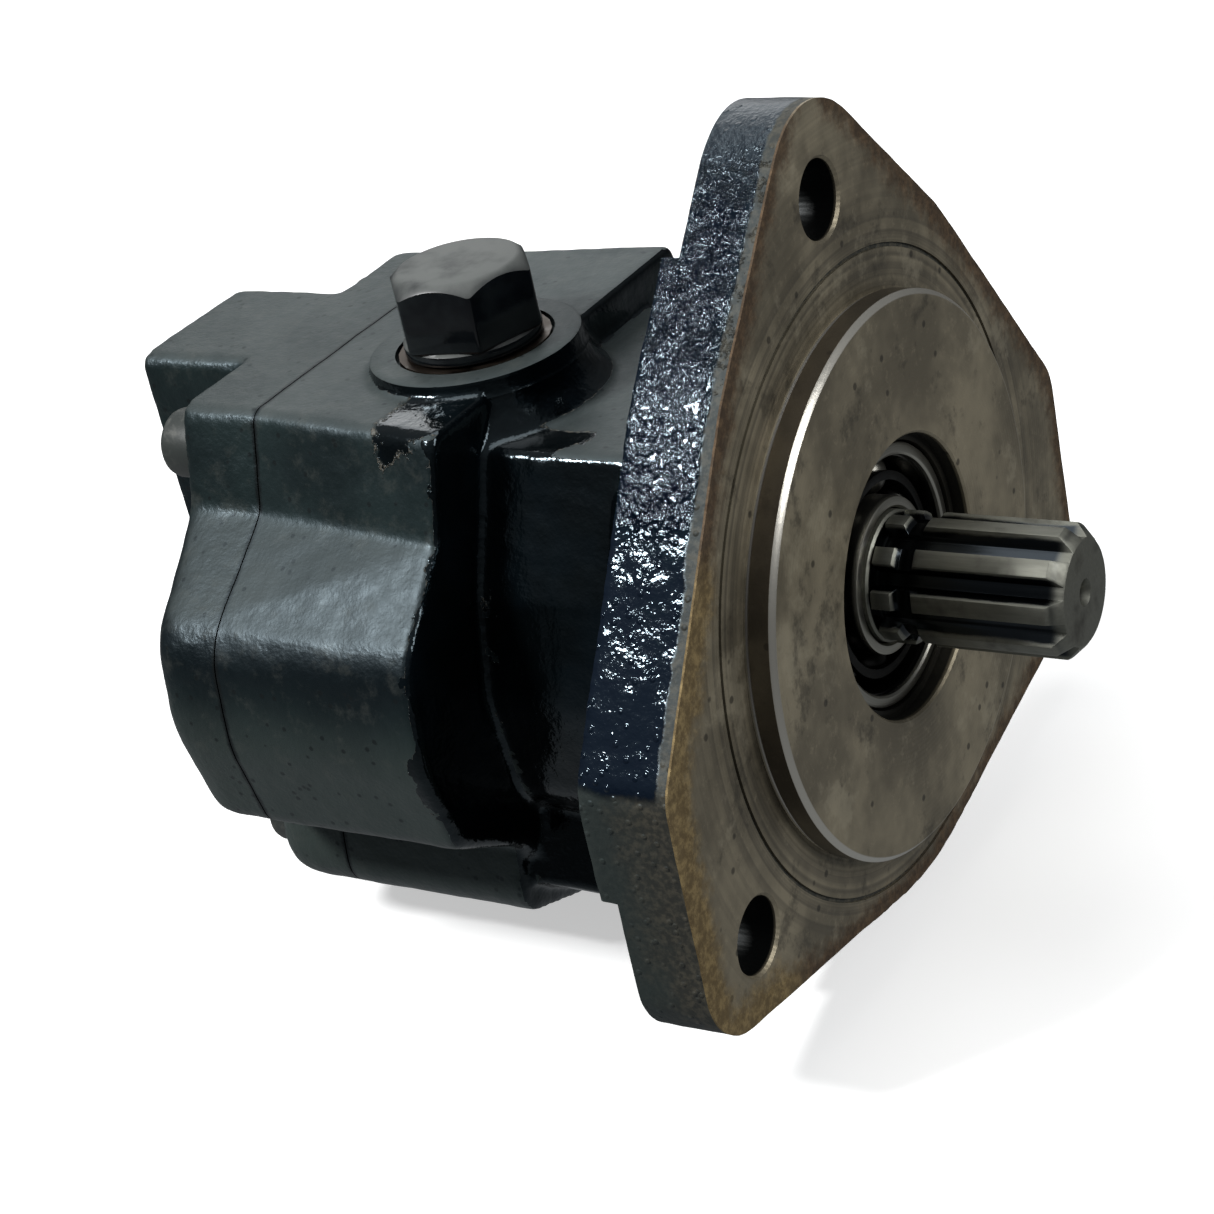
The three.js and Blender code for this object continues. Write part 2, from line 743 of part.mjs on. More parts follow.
add('swash_plate', swashPlate(), castIron);
add('wear_plate', wearPlate(), steel);
add('retainer_plate', retainerPlate(), steel);
add('guide_ball', guideBall(), bronze);
addEach('slipper', pistons.count, slipperSolid, brass);
addEach('piston', pistons.count, pistonSolid, steel);

add('cylinder_barrel', cylinderBarrel(), steel);
add('barrel_spring', barrelSpring(), springSteel);
add('valve_plate', valvePlate(), bronze);
add('dowel_pin', dowelPin(), steel);

export default assembly;
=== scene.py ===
"""Looks of the axial piston pump: fine meshes for the outside pieces and a material for every piece.

Lengths are in millimetres until a mesh is made, which is in metres. +X points out of the mounting
flange along the shaft, +Z is up, and the origin is on the shaft axis in the mounting face.
"""

import json
import math

import bmesh
import bpy
from mathutils import Matrix, Vector, noise

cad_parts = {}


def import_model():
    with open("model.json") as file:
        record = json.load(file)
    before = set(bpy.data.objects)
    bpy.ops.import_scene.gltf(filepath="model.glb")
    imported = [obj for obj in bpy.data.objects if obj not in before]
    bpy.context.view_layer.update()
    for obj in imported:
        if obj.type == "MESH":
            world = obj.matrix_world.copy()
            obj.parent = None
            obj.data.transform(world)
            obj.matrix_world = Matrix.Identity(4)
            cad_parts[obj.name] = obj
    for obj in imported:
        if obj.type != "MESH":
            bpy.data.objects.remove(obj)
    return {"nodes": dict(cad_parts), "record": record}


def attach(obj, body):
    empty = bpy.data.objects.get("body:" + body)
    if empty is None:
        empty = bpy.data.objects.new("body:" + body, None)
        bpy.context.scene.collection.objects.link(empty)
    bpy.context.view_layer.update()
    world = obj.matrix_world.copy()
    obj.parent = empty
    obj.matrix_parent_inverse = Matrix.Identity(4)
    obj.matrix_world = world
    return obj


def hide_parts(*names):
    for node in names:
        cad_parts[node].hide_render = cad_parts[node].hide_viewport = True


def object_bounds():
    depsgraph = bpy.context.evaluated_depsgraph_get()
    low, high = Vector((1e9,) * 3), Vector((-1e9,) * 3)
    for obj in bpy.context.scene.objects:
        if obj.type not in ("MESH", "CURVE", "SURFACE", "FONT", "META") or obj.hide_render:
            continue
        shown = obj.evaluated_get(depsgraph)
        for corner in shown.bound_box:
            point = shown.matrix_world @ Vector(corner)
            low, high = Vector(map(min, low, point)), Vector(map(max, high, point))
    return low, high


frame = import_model()
cad_bounds = [list(corner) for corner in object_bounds()]
nodes = frame["nodes"]

MM = 0.001

# ---------------------------------------------------------------- driving dimensions

FLANGE_THICKNESS = 17
FLANGE_CORNERS = ((0, 93.9, 17.5), (41.5, 52.1, 30), (78.4, 2.2, 9), (78.4, -46.6, 13), (0, -62.3, 60))
EAR_ANGLES = (90, 210, 330)
BOLT_CIRCLE = 70
EAR_HOLE = 6.75
EAR_SPOT_RADIUS, EAR_SPOT_DEPTH = 24, 3.5
PILOT_RADIUS, PILOT_HEIGHT, PILOT_CHAMFER, PILOT_BORE = 50, 5.5, 0.9, 25.2

BODY_FRONT, BODY_REAR = -57, -99.5
LOBE_FRONT = -59.5
NECK_RADIUS, NECK_SHELF, NECK_SHOULDER = 45, 36, 30
FLARE_RADIUS, FLARE_LENGTH = 56, 12
KEEL_RADIUS, KEEL_ANGLE = 63, 42

COVER_FRONT, COVER_REAR, PORT_REAR = -99.8, -117, -143
PORT_HALF_WIDTH, PORT_TOP, PORT_BOTTOM = 17, 44, -42
PRESSURE_Z, PRESSURE_RADIUS = 22, 9.3
SUCTION_Z, SUCTION_RADIUS = -21, 12
BOLT_PLACES = ((30.5, 33.5), (31, -47), (-31, -47), (-30.5, 33.5))
BOLT_RADIUS, BOLT_HEAD_RADIUS, BOLT_HEAD_HEIGHT = 4, 6.5, 8

BOSS_X, BOSS_Y, BOSS_RADIUS, BOSS_TOP = -69, -9, 19.5, 46.5
SPOT_RADIUS, SPOT_DEPTH = 14.6, 2
PLUG_FLATS, PLUG_HEIGHT, PLUG_TURN = 24, 15, 20

BEARING_FRONT, BEARING_WIDTH, BEARING_OUTER, BEARING_BORE, BALL_PITCH = 2, 14, 23.5, 12, 17.4
BALL_RADIUS, BALL_COUNT, BALL_START = 3.97, 9, 12
BEARING_MIDDLE = BEARING_FRONT - BEARING_WIDTH / 2
TRACK_RADIUS, TRACK_REACH = BALL_RADIUS + 0.15, 0.62
SHAFT_TIP, SPLINE_RADIUS, SPLINE_ROOT, SPLINE_TEETH, SPLINE_TURN = 37.7, 11.7, 9.3, 9, 13

CASTING_VOXEL = 0.8
GAP = 0.3

PAINT_SHEEN = (0.72, 0.90, 1.0)
CHIP = (-8, -66.6, 27)


# ---------------------------------------------------------------- outlines

def polar(radius, degrees):
    angle = math.radians(degrees)
    return radius * math.cos(angle), radius * math.sin(angle)


def arc(radius, start, stop, steps):
    return [polar(radius, start + (stop - start) * i / steps) for i in range(steps + 1)]


def rounded(corners, steps=8):
    """Replaces every (y, z, radius) corner by an arc, both for convex and for concave corners."""
    outline = []
    for i, (y, z, radius) in enumerate(corners):
        corner = Vector((y, z))
        if radius == 0:
            outline.append((y, z))
            continue
        before = Vector(corners[i - 1][:2]) - corner
        after = Vector(corners[(i + 1) % len(corners)][:2]) - corner
        before.normalize()
        after.normalize()
        half = before.angle(after) / 2
        centre = corner + (before + after).normalized() * (radius / math.sin(half))
        first = corner + before * (radius / math.tan(half)) - centre
        side = 1 if before.cross(after) < 0 else -1
        for k in range(steps + 1):
            turn = side * (math.pi - 2 * half) * k / steps
            outline.append(tuple(centre + Matrix.Rotation(turn, 2) @ first))
    return outline


def mirrored(right):
    """Adds the left-hand half to corners listed from top to bottom on the right-hand side."""
    left = [(-y, z, radius) for y, z, radius in reversed(right) if y > 0]
    return list(right) + left


def flange_outline():
    return rounded(mirrored(FLANGE_CORNERS))


def body_outline(top, crease, inset=0):
    """A flat-topped upper block on two round side bulges, drawn inwards by inset."""
    return rounded(mirrored([
        (0, 44, 0),
        (top, 44, 3),
        (crease, 26.5, 2.5),
        (63.8 - inset, 11 - inset / 3, 14),
        (66.2 - inset, -8 + inset / 3, 22),
        (62 - inset, -26.5 + inset, 4 + inset),
        (44 - inset, -37.5 + inset, 2),
        (34, -52 + inset, 8),
        (0, -60 + inset, 40),
    ]))


def neck_outline():
    """A flat shelf on top with square shoulders, and round below."""
    return rounded(mirrored([
        (0, NECK_SHELF, 0),
        (NECK_SHOULDER, NECK_SHELF, 2),
        (41, 12, 10),
        (NECK_RADIUS, -6, 14),
        (NECK_RADIUS - 3, -28, 14),
        (28, -42, 12),
        (0, -47, 30),
    ]))


def lobe_outline(inset=0):
    return rounded(mirrored([
        (0, -20, 0),
        (42 - inset, -28, 4),
        (46 - inset, -52 + 0.7 * inset, 7),
        (0, -69.5 + 0.9 * inset, 60),
    ]))


def port_outline():
    return rounded([
        (PORT_HALF_WIDTH, PORT_TOP, 3),
        (PORT_HALF_WIDTH, PORT_BOTTOM, 6),
        (-PORT_HALF_WIDTH, PORT_BOTTOM, 6),
        (-PORT_HALF_WIDTH, PORT_TOP, 3),
    ])


# ---------------------------------------------------------------- mesh helpers

def make_object(name, bm):
    """Scales a bmesh from millimetres to metres and links it as an object."""
    bmesh.ops.recalc_face_normals(bm, faces=bm.faces)
    bmesh.ops.scale(bm, vec=(MM, MM, MM), verts=bm.verts)
    mesh = bpy.data.meshes.new(name)
    bm.to_mesh(mesh)
    bm.free()
    piece = bpy.data.objects.new(name, mesh)
    bpy.context.scene.collection.objects.link(piece)
    return piece


def loft(name, stations):
    """Skins closed (y, z) outlines of equal length, each at its own x."""
    bm = bmesh.new()
    rings = [[bm.verts.new((x, y, z)) for y, z in outline] for x, outline in stations]
    count = len(rings[0])
    for near, far in zip(rings, rings[1:]):
        for i in range(count):
            j = (i + 1) % count
            bm.faces.new((near[i], near[j], far[j], far[i]))
    bm.faces.new(rings[0])
    bm.faces.new(rings[-1])
    return make_object(name, bm)


def prism(name, outline, x0, x1):
    return loft(name, [(x0, outline), (x1, outline)])


def turned(name, profile, segments=96):
    """Revolves (x, radius) points about the X axis. A profile point with radius 0 is a pole."""
    bm = bmesh.new()
    rings = []
    for x, radius in profile:
        if radius == 0:
            rings.append([bm.verts.new((x, 0, 0))])
        else:
            angles = [360 * i / segments for i in range(segments)]
            rings.append([bm.verts.new((x, *polar(radius, angle))) for angle in angles])
    closed = profile[0][1] > 0
    if closed:
        rings.append(rings[0])
    for near, far in zip(rings, rings[1:]):
        for i in range(segments):
            j = (i + 1) % segments
            corners = [near[i % len(near)], near[j % len(near)], far[j % len(far)], far[i % len(far)]]
            unique = list(dict.fromkeys(corners))
            if len(unique) > 2:
                bm.faces.new(unique)
    return make_object(name, bm)


def rod(name, radius, x0, x1, segments=64):
    return turned(name, [(x0, 0), (x0, radius), (x1, radius), (x1, 0)], segments)


def ring(name, inner, outer, x0, x1, segments=96):
    return turned(name, [(x0, inner), (x0, outer), (x1, outer), (x1, inner)], segments)


def moved(piece, x=0, y=0, z=0):
    piece.data.transform(Matrix.Translation((x * MM, y * MM, z * MM)))
    return piece


def upright(piece):
    """Stands a piece that was built along -X upright on the axis of the plug boss."""
    piece.data.transform(Matrix.Rotation(math.pi / 2, 4, "Y"))
    return moved(piece, BOSS_X, BOSS_Y, 0)


def apply_modifiers(piece):
    graph = bpy.context.evaluated_depsgraph_get()
    baked = bpy.data.meshes.new_from_object(piece.evaluated_get(graph))
    old = piece.data
    piece.modifiers.clear()
    piece.data = baked
    bpy.data.meshes.remove(old)
    return piece


def boolean(piece, tools, operation):
    """Joins the tools to the piece or cuts them from it, and deletes them."""
    for tool in tools:
        step = piece.modifiers.new("step", "BOOLEAN")
        step.operation = operation
        step.solver = "MANIFOLD"
        step.object = tool
    apply_modifiers(piece)
    for tool in tools:
        bpy.data.objects.remove(tool)
    return piece


def joined(name, parts):
    """Puts overlapping closed parts into one mesh."""
    bm = bmesh.new()
    for part in parts:
        bm.from_mesh(part.data)
        bpy.data.objects.remove(part)
    mesh = bpy.data.meshes.new(name)
    bm.to_mesh(mesh)
    bm.free()
    piece = bpy.data.objects.new(name, mesh)
    bpy.context.scene.collection.objects.link(piece)
    return piece


def kept_in_box(piece):
    """Moves the few points that swelled past the CAD model's box back onto it."""
    for vertex in piece.data.vertices:
        for axis, (low, high) in enumerate(zip(*cad_bounds)):
            vertex.co[axis] = min(max(vertex.co[axis], low), high)
    return piece


def cast(name, parts, voxel=CASTING_VOXEL, rounds=6, swell=0.16):
    """Fuses the parts into one casting with soft edges and fillets and a slightly uneven skin."""
    piece = joined(name, parts)
    remesh = piece.modifiers.new("remesh", "REMESH")
    remesh.mode = "VOXEL"
    remesh.voxel_size = voxel * MM
    smooth = piece.modifiers.new("smooth", "SMOOTH")
    smooth.factor = 0.5
    smooth.iterations = rounds
    apply_modifiers(piece)
    normals = [vertex.normal.copy() for vertex in piece.data.vertices]
    for vertex, normal in zip(piece.data.vertices, normals):
        place = vertex.co / MM
        height = noise.noise(place / 9) + 0.5 * noise.noise(place / 3.1) - 0.35
        vertex.co += normal * (swell * height * MM)
    return kept_in_box(piece)


def shade(piece, degrees=32):
    piece.data.shade_smooth()
    piece.data.set_sharp_from_angle(angle=math.radians(degrees))
    return piece


def bevel(piece, width, segments=2, degrees=30):
    step = piece.modifiers.new("bevel", "BEVEL")
    step.width = width * MM
    step.segments = segments
    step.limit_method = "ANGLE"
    step.angle_limit = math.radians(degrees)
    step.harden_normals = False
    apply_modifiers(piece)
    return piece


# ---------------------------------------------------------------- front housing

def neck_parts():
    flare_start = -FLANGE_THICKNESS - FLARE_LENGTH
    neck = prism("neck", neck_outline(), BODY_FRONT - 2, -1)
    flare = turned("flare", [
        (flare_start, 0),
        (flare_start, NECK_RADIUS),
        (-FLANGE_THICKNESS - 4, NECK_RADIUS + 3),
        (-FLANGE_THICKNESS + 1, FLARE_RADIUS),
        (-FLANGE_THICKNESS + 1, 0),
    ])
    top = FLARE_RADIUS + 1
    over_shelf = prism("over_shelf", [
        (top, NECK_SHELF - 0.4),
        (top, top),
        (-top, top),
        (-top, NECK_SHELF - 0.4),
    ], flare_start - 1, -FLANGE_THICKNESS + 2)
    keel_arc = arc(KEEL_RADIUS, 270 - KEEL_ANGLE, 270 + KEEL_ANGLE, 24)
    keel = prism("keel", keel_arc + [(25, 0), (-25, 0)], LOBE_FRONT, -1)
    return [neck, boolean(flare, [over_shelf], "DIFFERENCE"), keel]


def boss_parts():
    """The plug boss, with a skirt that spreads towards the block's front and the shelf."""
    boss = upright(rod("boss", BOSS_RADIUS, -BOSS_TOP, -30))
    skirt = upright(turned("skirt", [
        (-43.5, 0),
        (-43.5, BOSS_RADIUS),
        (-39.5, BOSS_RADIUS + 1.6),
        (-35, BOSS_RADIUS + 5),
        (-30, BOSS_RADIUS + 5),
        (-30, 0),
    ]))
    return [boss, skirt]


def block_parts():
    block = loft("block", [
        (BODY_REAR - 3, body_outline(36.8, 41.8)),
        (BODY_REAR, body_outline(37, 42)),
        (BODY_FRONT - 1, body_outline(42, 47.5)),
        (BODY_FRONT, body_outline(41, 46.5, 0.8)),
    ])
    lobe = prism("lobe", lobe_outline(), BODY_REAR - 3, LOBE_FRONT)
    return [block, lobe]


def ear_places():
    return [polar(BOLT_CIRCLE, angle) for angle in EAR_ANGLES]


def housing_cutters():
    bearing_back = BEARING_FRONT - BEARING_WIDTH
    bores = turned("bores", [
        (PILOT_HEIGHT + 1, 0),
        (PILOT_HEIGHT + 1, PILOT_BORE + 1.4),
        (PILOT_HEIGHT - 0.4, PILOT_BORE),
        (BEARING_FRONT + GAP, PILOT_BORE),
        (BEARING_FRONT + GAP, BEARING_OUTER + GAP),
        (bearing_back - GAP, BEARING_OUTER + GAP),
        (bearing_back - GAP, 21),
        (-22.5, 21),
        (-22.5, 15),
        (-27.7, 15),
        (-27.7, 31),
        (-60, 31),
        (-60, 33.5),
        (BODY_REAR - 5, 33.5),
        (BODY_REAR - 5, 0),
    ])
    cutters = [bores, ring("tool_ring", 57, 57.8, -0.5, 1, 160)]
    for y, z in ear_places():
        hole = turned("ear_hole", [
            (-FLANGE_THICKNESS - 1, 0),
            (-FLANGE_THICKNESS - 1, EAR_HOLE),
            (-0.5, EAR_HOLE),
            (0.5, EAR_HOLE + 1),
            (0.5, 0),
        ], 64)
        cutters.append(moved(hole, y=y, z=z))
    for y, z in BOLT_PLACES:
        cutters.append(moved(rod("tapped", BOLT_RADIUS + GAP, BODY_REAR - 5, -74, 32), y=y, z=z))
    cutters.append(upright(rod("plug_spot", SPOT_RADIUS, -BOSS_TOP - 3, -BOSS_TOP + SPOT_DEPTH, 96)))
    cutters.append(upright(rod("plug_bore", 10.5 + GAP, -BOSS_TOP - 3, -30, 64)))
    return cutters


def cut_box(name, x0, x1, reach=120):
    return prism(name, [(reach, reach), (reach, -reach), (-reach, -reach), (-reach, reach)], x0, x1)


def ear_spots():
    """The round spot faces behind the ears that the bolt heads sit on."""
    start, end = -FLANGE_THICKNESS - 9, EAR_SPOT_DEPTH - FLANGE_THICKNESS
    return [moved(rod("spot", EAR_SPOT_RADIUS, start, end), y=y, z=z) for y, z in ear_places()]


def flat_cuts():
    """Trims the casting to its machined faces: the flange, the seam and the top of the boss."""
    return [
        cut_box("front_cut", 0, 10),
        cut_box("rear_cut", BODY_REAR - 10, BODY_REAR),
        upright(rod("boss_face", 60, -BOSS_TOP - 6, -BOSS_TOP)),
    ]


def spigot():
    """The raised disc of the mounting face, with an undercut at its foot and a chamfer on top."""
    return turned("spigot", [
        (-1, 0),
        (-1, PILOT_RADIUS),
        (0, PILOT_RADIUS - 0.25),
        (0.5, PILOT_RADIUS - 0.5),
        (1, PILOT_RADIUS),
        (PILOT_HEIGHT - PILOT_CHAMFER, PILOT_RADIUS),
        (PILOT_HEIGHT, PILOT_RADIUS - PILOT_CHAMFER),
        (PILOT_HEIGHT, 0),
    ], 192)


def boss_rim():
    """The crisp turned edge on top of the plug boss."""
    return upright(turned("boss_rim", [
        (-BOSS_TOP, 0),
        (-BOSS_TOP, BOSS_RADIUS - 0.8),
        (-BOSS_TOP + 0.25, BOSS_RADIUS - 0.2),
        (-BOSS_TOP + 0.8, BOSS_RADIUS),
        (-BOSS_TOP + 2.6, BOSS_RADIUS + 0.15),
        (-BOSS_TOP + 3.4, BOSS_RADIUS + 0.6),
        (-BOSS_TOP + 5, 0),
    ]))


def front_housing():
    plate = prism("plate", flange_outline(), -FLANGE_THICKNESS, 2)
    housing = cast("housing_casting", [plate, *block_parts(), *neck_parts(), *boss_parts()])
    boolean(housing, [*ear_spots(), *flat_cuts()], "DIFFERENCE")
    boolean(housing, [spigot(), boss_rim()], "UNION")
    boolean(housing, housing_cutters(), "DIFFERENCE")
    return shade(housing, 28)


# ---------------------------------------------------------------- rear cover

def kidney(name, centre, half_angle, inner, outer, x0, x1):
    outline = arc(outer, centre - half_angle, centre + half_angle, 24)
    outline += arc(inner, centre + half_angle, centre - half_angle, 24)
    return prism(name, outline, x0, x1)


def cover_cutters():
    cutters = [cut_box("seam_cut", COVER_FRONT, COVER_FRONT + 10)]
    for y, z in BOLT_PLACES:
        cutters.append(moved(rod("bolt_hole", BOLT_RADIUS + 0.5, -125, COVER_FRONT + 1, 32), y=y, z=z))
        seat = rod("bolt_seat", BOLT_HEAD_RADIUS + 1.6, -130, COVER_REAR + 0.2, 48)
        cutters.append(moved(seat, y=y, z=z))
    for z, radius in ((PRESSURE_Z, PRESSURE_RADIUS), (SUCTION_Z, SUCTION_RADIUS)):
        port = turned("port", [
            (PORT_REAR - 3, 0),
            (PORT_REAR - 3, radius + 4.2),
            (PORT_REAR + 1.5, radius + 4.2),
            (PORT_REAR + 1.5, radius + 1.2),
            (PORT_REAR + 2.7, radius),
            (-104, radius),
            (-104, 0),
        ], 80)
        cutters.append(moved(port, z=z))
    cutters.append(kidney("pressure_pocket", 90, 55, 17.5, 25.5, -106, COVER_FRONT + 1))
    cutters.append(kidney("suction_pocket", 270, 55, 17.5, 25.5, -106, COVER_FRONT + 1))
    cutters.append(rod("bush_bore", 11, -115, COVER_FRONT + 1))
    cutters.append(ring("seal_groove", 36.2, 38.8, COVER_FRONT - 1.6, COVER_FRONT + 1))
    cutters.append(moved(rod("dowel_hole", 1.8, COVER_FRONT - 3.5, COVER_FRONT + 1, 24), y=28.5))
    return cutters


def rear_cover():
    rim = [(0, 8), (0.6, 5.6), (1.5, 4), (2.6, 2.4), (4, 1.2), (6, 0.4), (9, 0)]
    stations = [(COVER_REAR + depth, inset) for depth, inset in rim] + [(COVER_FRONT + 3, 0)]
    plate = loft("plate", [(x, body_outline(37 - i / 8, 42 - i / 8, i)) for x, i in stations])
    lobe = loft("lobe", [(x, lobe_outline(i / 2)) for x, i in stations])
    block = prism("port_block", port_outline(), PORT_REAR, COVER_REAR + 6)
    cover = cast("cover_casting", [plate, lobe, block], rounds=9)
    boolean(cover, cover_cutters(), "DIFFERENCE")
    return shade(cover, 28)


def cover_bolt(number, place):
    base = COVER_REAR - GAP
    top = base - BOLT_HEAD_HEIGHT
    head = turned(f"socket_bolt_{number}", [
        (top, 0),
        (top, BOLT_HEAD_RADIUS - 1.6),
        (top + 0.3, BOLT_HEAD_RADIUS - 0.9),
        (top + 0.9, BOLT_HEAD_RADIUS - 0.3),
        (top + 1.7, BOLT_HEAD_RADIUS),
        (base - 0.3, BOLT_HEAD_RADIUS),
        (base, BOLT_HEAD_RADIUS - 0.3),
        (base, BOLT_RADIUS),
        (-77, BOLT_RADIUS),
        (-76, BOLT_RADIUS - 1),
        (-76, 0),
    ], 48)
    recess = turned("recess", [(top - 1, 0), (top - 1, 3.45), (base - 4, 3.45), (base - 2.5, 0)], 6)
    boolean(head, [recess], "DIFFERENCE")
    y, z = place
    return shade(moved(head, y=y, z=z))


# ---------------------------------------------------------------- top plug

def hex_plug():
    seat = BOSS_TOP - SPOT_DEPTH + 1.5 + 2 * GAP
    top = seat + PLUG_HEIGHT
    corner = PLUG_FLATS / math.sqrt(3)
    hexagon = rod("plug", corner, -top, -seat - 2.1, 6)
    hexagon.data.transform(Matrix.Rotation(math.radians(PLUG_TURN), 4, "X"))
    bevel(hexagon, 0.7, 3)
    crown = turned("crown", [
        (-top - 0.01, 0),
        (-top - 0.01, PLUG_FLATS / 2 - 1.4),
        (-top + 0.3, PLUG_FLATS / 2 - 0.6),
        (-top + 3.2, corner + 0.8),
        (-seat, corner + 0.8),
        (-seat, 0),
    ])
    boolean(hexagon, [crown], "INTERSECT")
    collar = turned("collar", [
        (-seat - 2.4, 0),
        (-seat - 2.4, 12),
        (-seat - 2, 12.6),
        (-seat - 0.3, 12.6),
        (-seat, 12.3),
        (-seat, 10.4),
        (-seat + 10, 10.4),
        (-seat + 11, 9.4),
        (-seat + 11, 0),
    ])
    boolean(hexagon, [collar], "UNION")
    bevel(hexagon, 0.35, 2, 35)
    hexagon.name = "plug_body"
    return shade(upright(hexagon), 40)


# ---------------------------------------------------------------- shaft and bearing

def spline_section(root, tip, teeth, land_share, root_share, turn=0):
    pitch = 360 / teeth
    land, foot = pitch * land_share / 2, pitch * (1 - root_share) / 2
    outline = []
    for i in range(teeth):
        centre = turn + i * pitch
        outline += arc(tip, centre - land, centre + land, 4)
        outline += arc(root, centre + foot, centre + pitch - foot, 3)
    return outline


def splined_shaft():
    section = spline_section(SPLINE_ROOT, SPLINE_RADIUS, SPLINE_TEETH, 0.38, 0.32, SPLINE_TURN)
    teeth = prism("teeth", section, 3.3, SHAFT_TIP)
    envelope = turned("envelope", [
        (3.3, 0),
        (3.3, SPLINE_RADIUS + 1),
        (6.4, SPLINE_RADIUS + 1),
        (7.6, 10.2),
        (10, 10.2),
        (11.6, SPLINE_RADIUS + 1),
        (SHAFT_TIP - 3.1, SPLINE_RADIUS + 0.6),
        (SHAFT_TIP - 0.4, SPLINE_RADIUS - 2),
        (SHAFT_TIP, SPLINE_RADIUS - 2.6),
        (SHAFT_TIP, 0),
    ])
    boolean(teeth, [envelope], "INTERSECT")
    bevel(teeth, 0.16, 2, 28)
    stem = turned("stem", [
        (-114, 0),
        (-114, 7.5),
        (-113, 8.5),
        (-71, 8.5),
        (-71, 8.6),
        (-60, 8.6),
        (-60, 10),
        (-24, 10),
        (-23, 13),
        (-13.2, 13),
        (-13.2, 13.6),
        (-12.3, 13.6),
        (-12.3, 11.7),
        (2.4, 11.7),
        (2.8, 11.3),
        (2.8, 9.7),
        (4, 9.7),
        (4, 0),
    ])
    drive = prism("drive", spline_section(8.6, 10, 12, 0.4, 0.4), -71, -60)
    boolean(teeth, [stem, drive], "UNION")
    centre = turned("centre", [
        (SHAFT_TIP + 1, 0),
        (SHAFT_TIP + 1, 3),
        (SHAFT_TIP - 1.6, 1.5),
        (SHAFT_TIP - 6, 1.5),
        (SHAFT_TIP - 7, 0),
    ], 48)
    boolean(teeth, [centre], "DIFFERENCE")
    teeth.name = "splined_shaft"
    return shade(teeth, 30)


def bearing_track(side, steps=14):
    """The groove that the balls roll in, with side 1 for the outer race and -1 for the inner one."""
    track = []
    for i in range(steps + 1):
        angle = TRACK_REACH - 2 * TRACK_REACH * i / steps
        x = BEARING_MIDDLE + TRACK_RADIUS * math.sin(angle)
        track.append((x, BALL_PITCH + side * TRACK_RADIUS * math.cos(angle)))
    return track


def outer_race():
    """Two fine shield grooves run inside the land of the front face."""
    back = BEARING_FRONT - BEARING_WIDTH
    shoulder = BALL_PITCH + TRACK_RADIUS * math.cos(TRACK_REACH)
    race = turned("outer_ring", [
        (BEARING_FRONT - 0.8, BEARING_OUTER),
        (BEARING_FRONT - 0.2, BEARING_OUTER - 0.25),
        (BEARING_FRONT, BEARING_OUTER - 0.8),
        (BEARING_FRONT, shoulder + 0.9),
        (BEARING_FRONT - 0.3, shoulder + 0.5),
        (BEARING_FRONT - 0.9, shoulder + 0.35),
        (BEARING_FRONT - 1, shoulder + 0.75),
        (BEARING_FRONT - 1.6, shoulder + 0.75),
        (BEARING_FRONT - 1.7, shoulder + 0.2),
        (BEARING_FRONT - 2.1, shoulder + 0.15),
        *bearing_track(1),
        (back + 0.3, shoulder),
        (back, shoulder + 0.3),
        (back, BEARING_OUTER - 0.8),
        (back + 0.8, BEARING_OUTER),
    ], 144)
    return shade(race, 35)


def inner_race():
    back = BEARING_FRONT - BEARING_WIDTH
    shoulder = BALL_PITCH - TRACK_RADIUS * math.cos(TRACK_REACH)
    race = turned("inner_ring", [
        (BEARING_FRONT - 0.4, BEARING_BORE),
        (BEARING_FRONT, BEARING_BORE + 0.4),
        (BEARING_FRONT, shoulder - 0.45),
        (BEARING_FRONT - 0.15, shoulder - 0.15),
        (BEARING_FRONT - 0.5, shoulder),
        *bearing_track(-1),
        (back + 0.3, shoulder),
        (back, shoulder - 0.3),
        (back, BEARING_BORE + 0.5),
        (back + 0.5, BEARING_BORE),
    ], 144)
    return shade(race, 35)


def ball_place(i):
    return polar(BALL_PITCH, 90 + 360 * i / BALL_COUNT + BALL_START)


def bearing_ball(i):
    """A ball turned from a half-circle profile."""
    steps = 24
    profile = [(BEARING_MIDDLE - BALL_RADIUS, 0)]
    for k in range(1, steps):
        angle = math.pi * k / steps
        profile.append((BEARING_MIDDLE - BALL_RADIUS * math.cos(angle), BALL_RADIUS * math.sin(angle)))
    profile.append((BEARING_MIDDLE + BALL_RADIUS, 0))
    y, z = ball_place(i)
    ball = moved(turned(f"ball_{i + 1}", profile, 48), y=y, z=z)
    ball.data.shade_smooth()
    return ball


def ball_cage():
    """A dark band between the races with a round pocket for each ball."""
    back, front = BEARING_MIDDLE - 5.2, BEARING_MIDDLE + 5.2
    cage = ring("ball_cage", BALL_PITCH - 0.7, BALL_PITCH + 0.9, back, front, 144)
    pockets = []
    for i in range(BALL_COUNT):
        pocket = rod("pocket", BALL_RADIUS + 0.4, -4, 4, 48)
        pocket.data.transform(Matrix.Rotation(math.pi / 2, 4, "Y"))
        moved(pocket, BEARING_MIDDLE, 0, BALL_PITCH)
        turn = math.radians(360 * i / BALL_COUNT + BALL_START)
        pocket.data.transform(Matrix.Rotation(turn, 4, "X"))
        pockets.append(pocket)
    boolean(cage, pockets, "DIFFERENCE")
    bevel(cage, 0.15, 2, 40)
    return shade(cage)


# ---------------------------------------------------------------- shader helpers

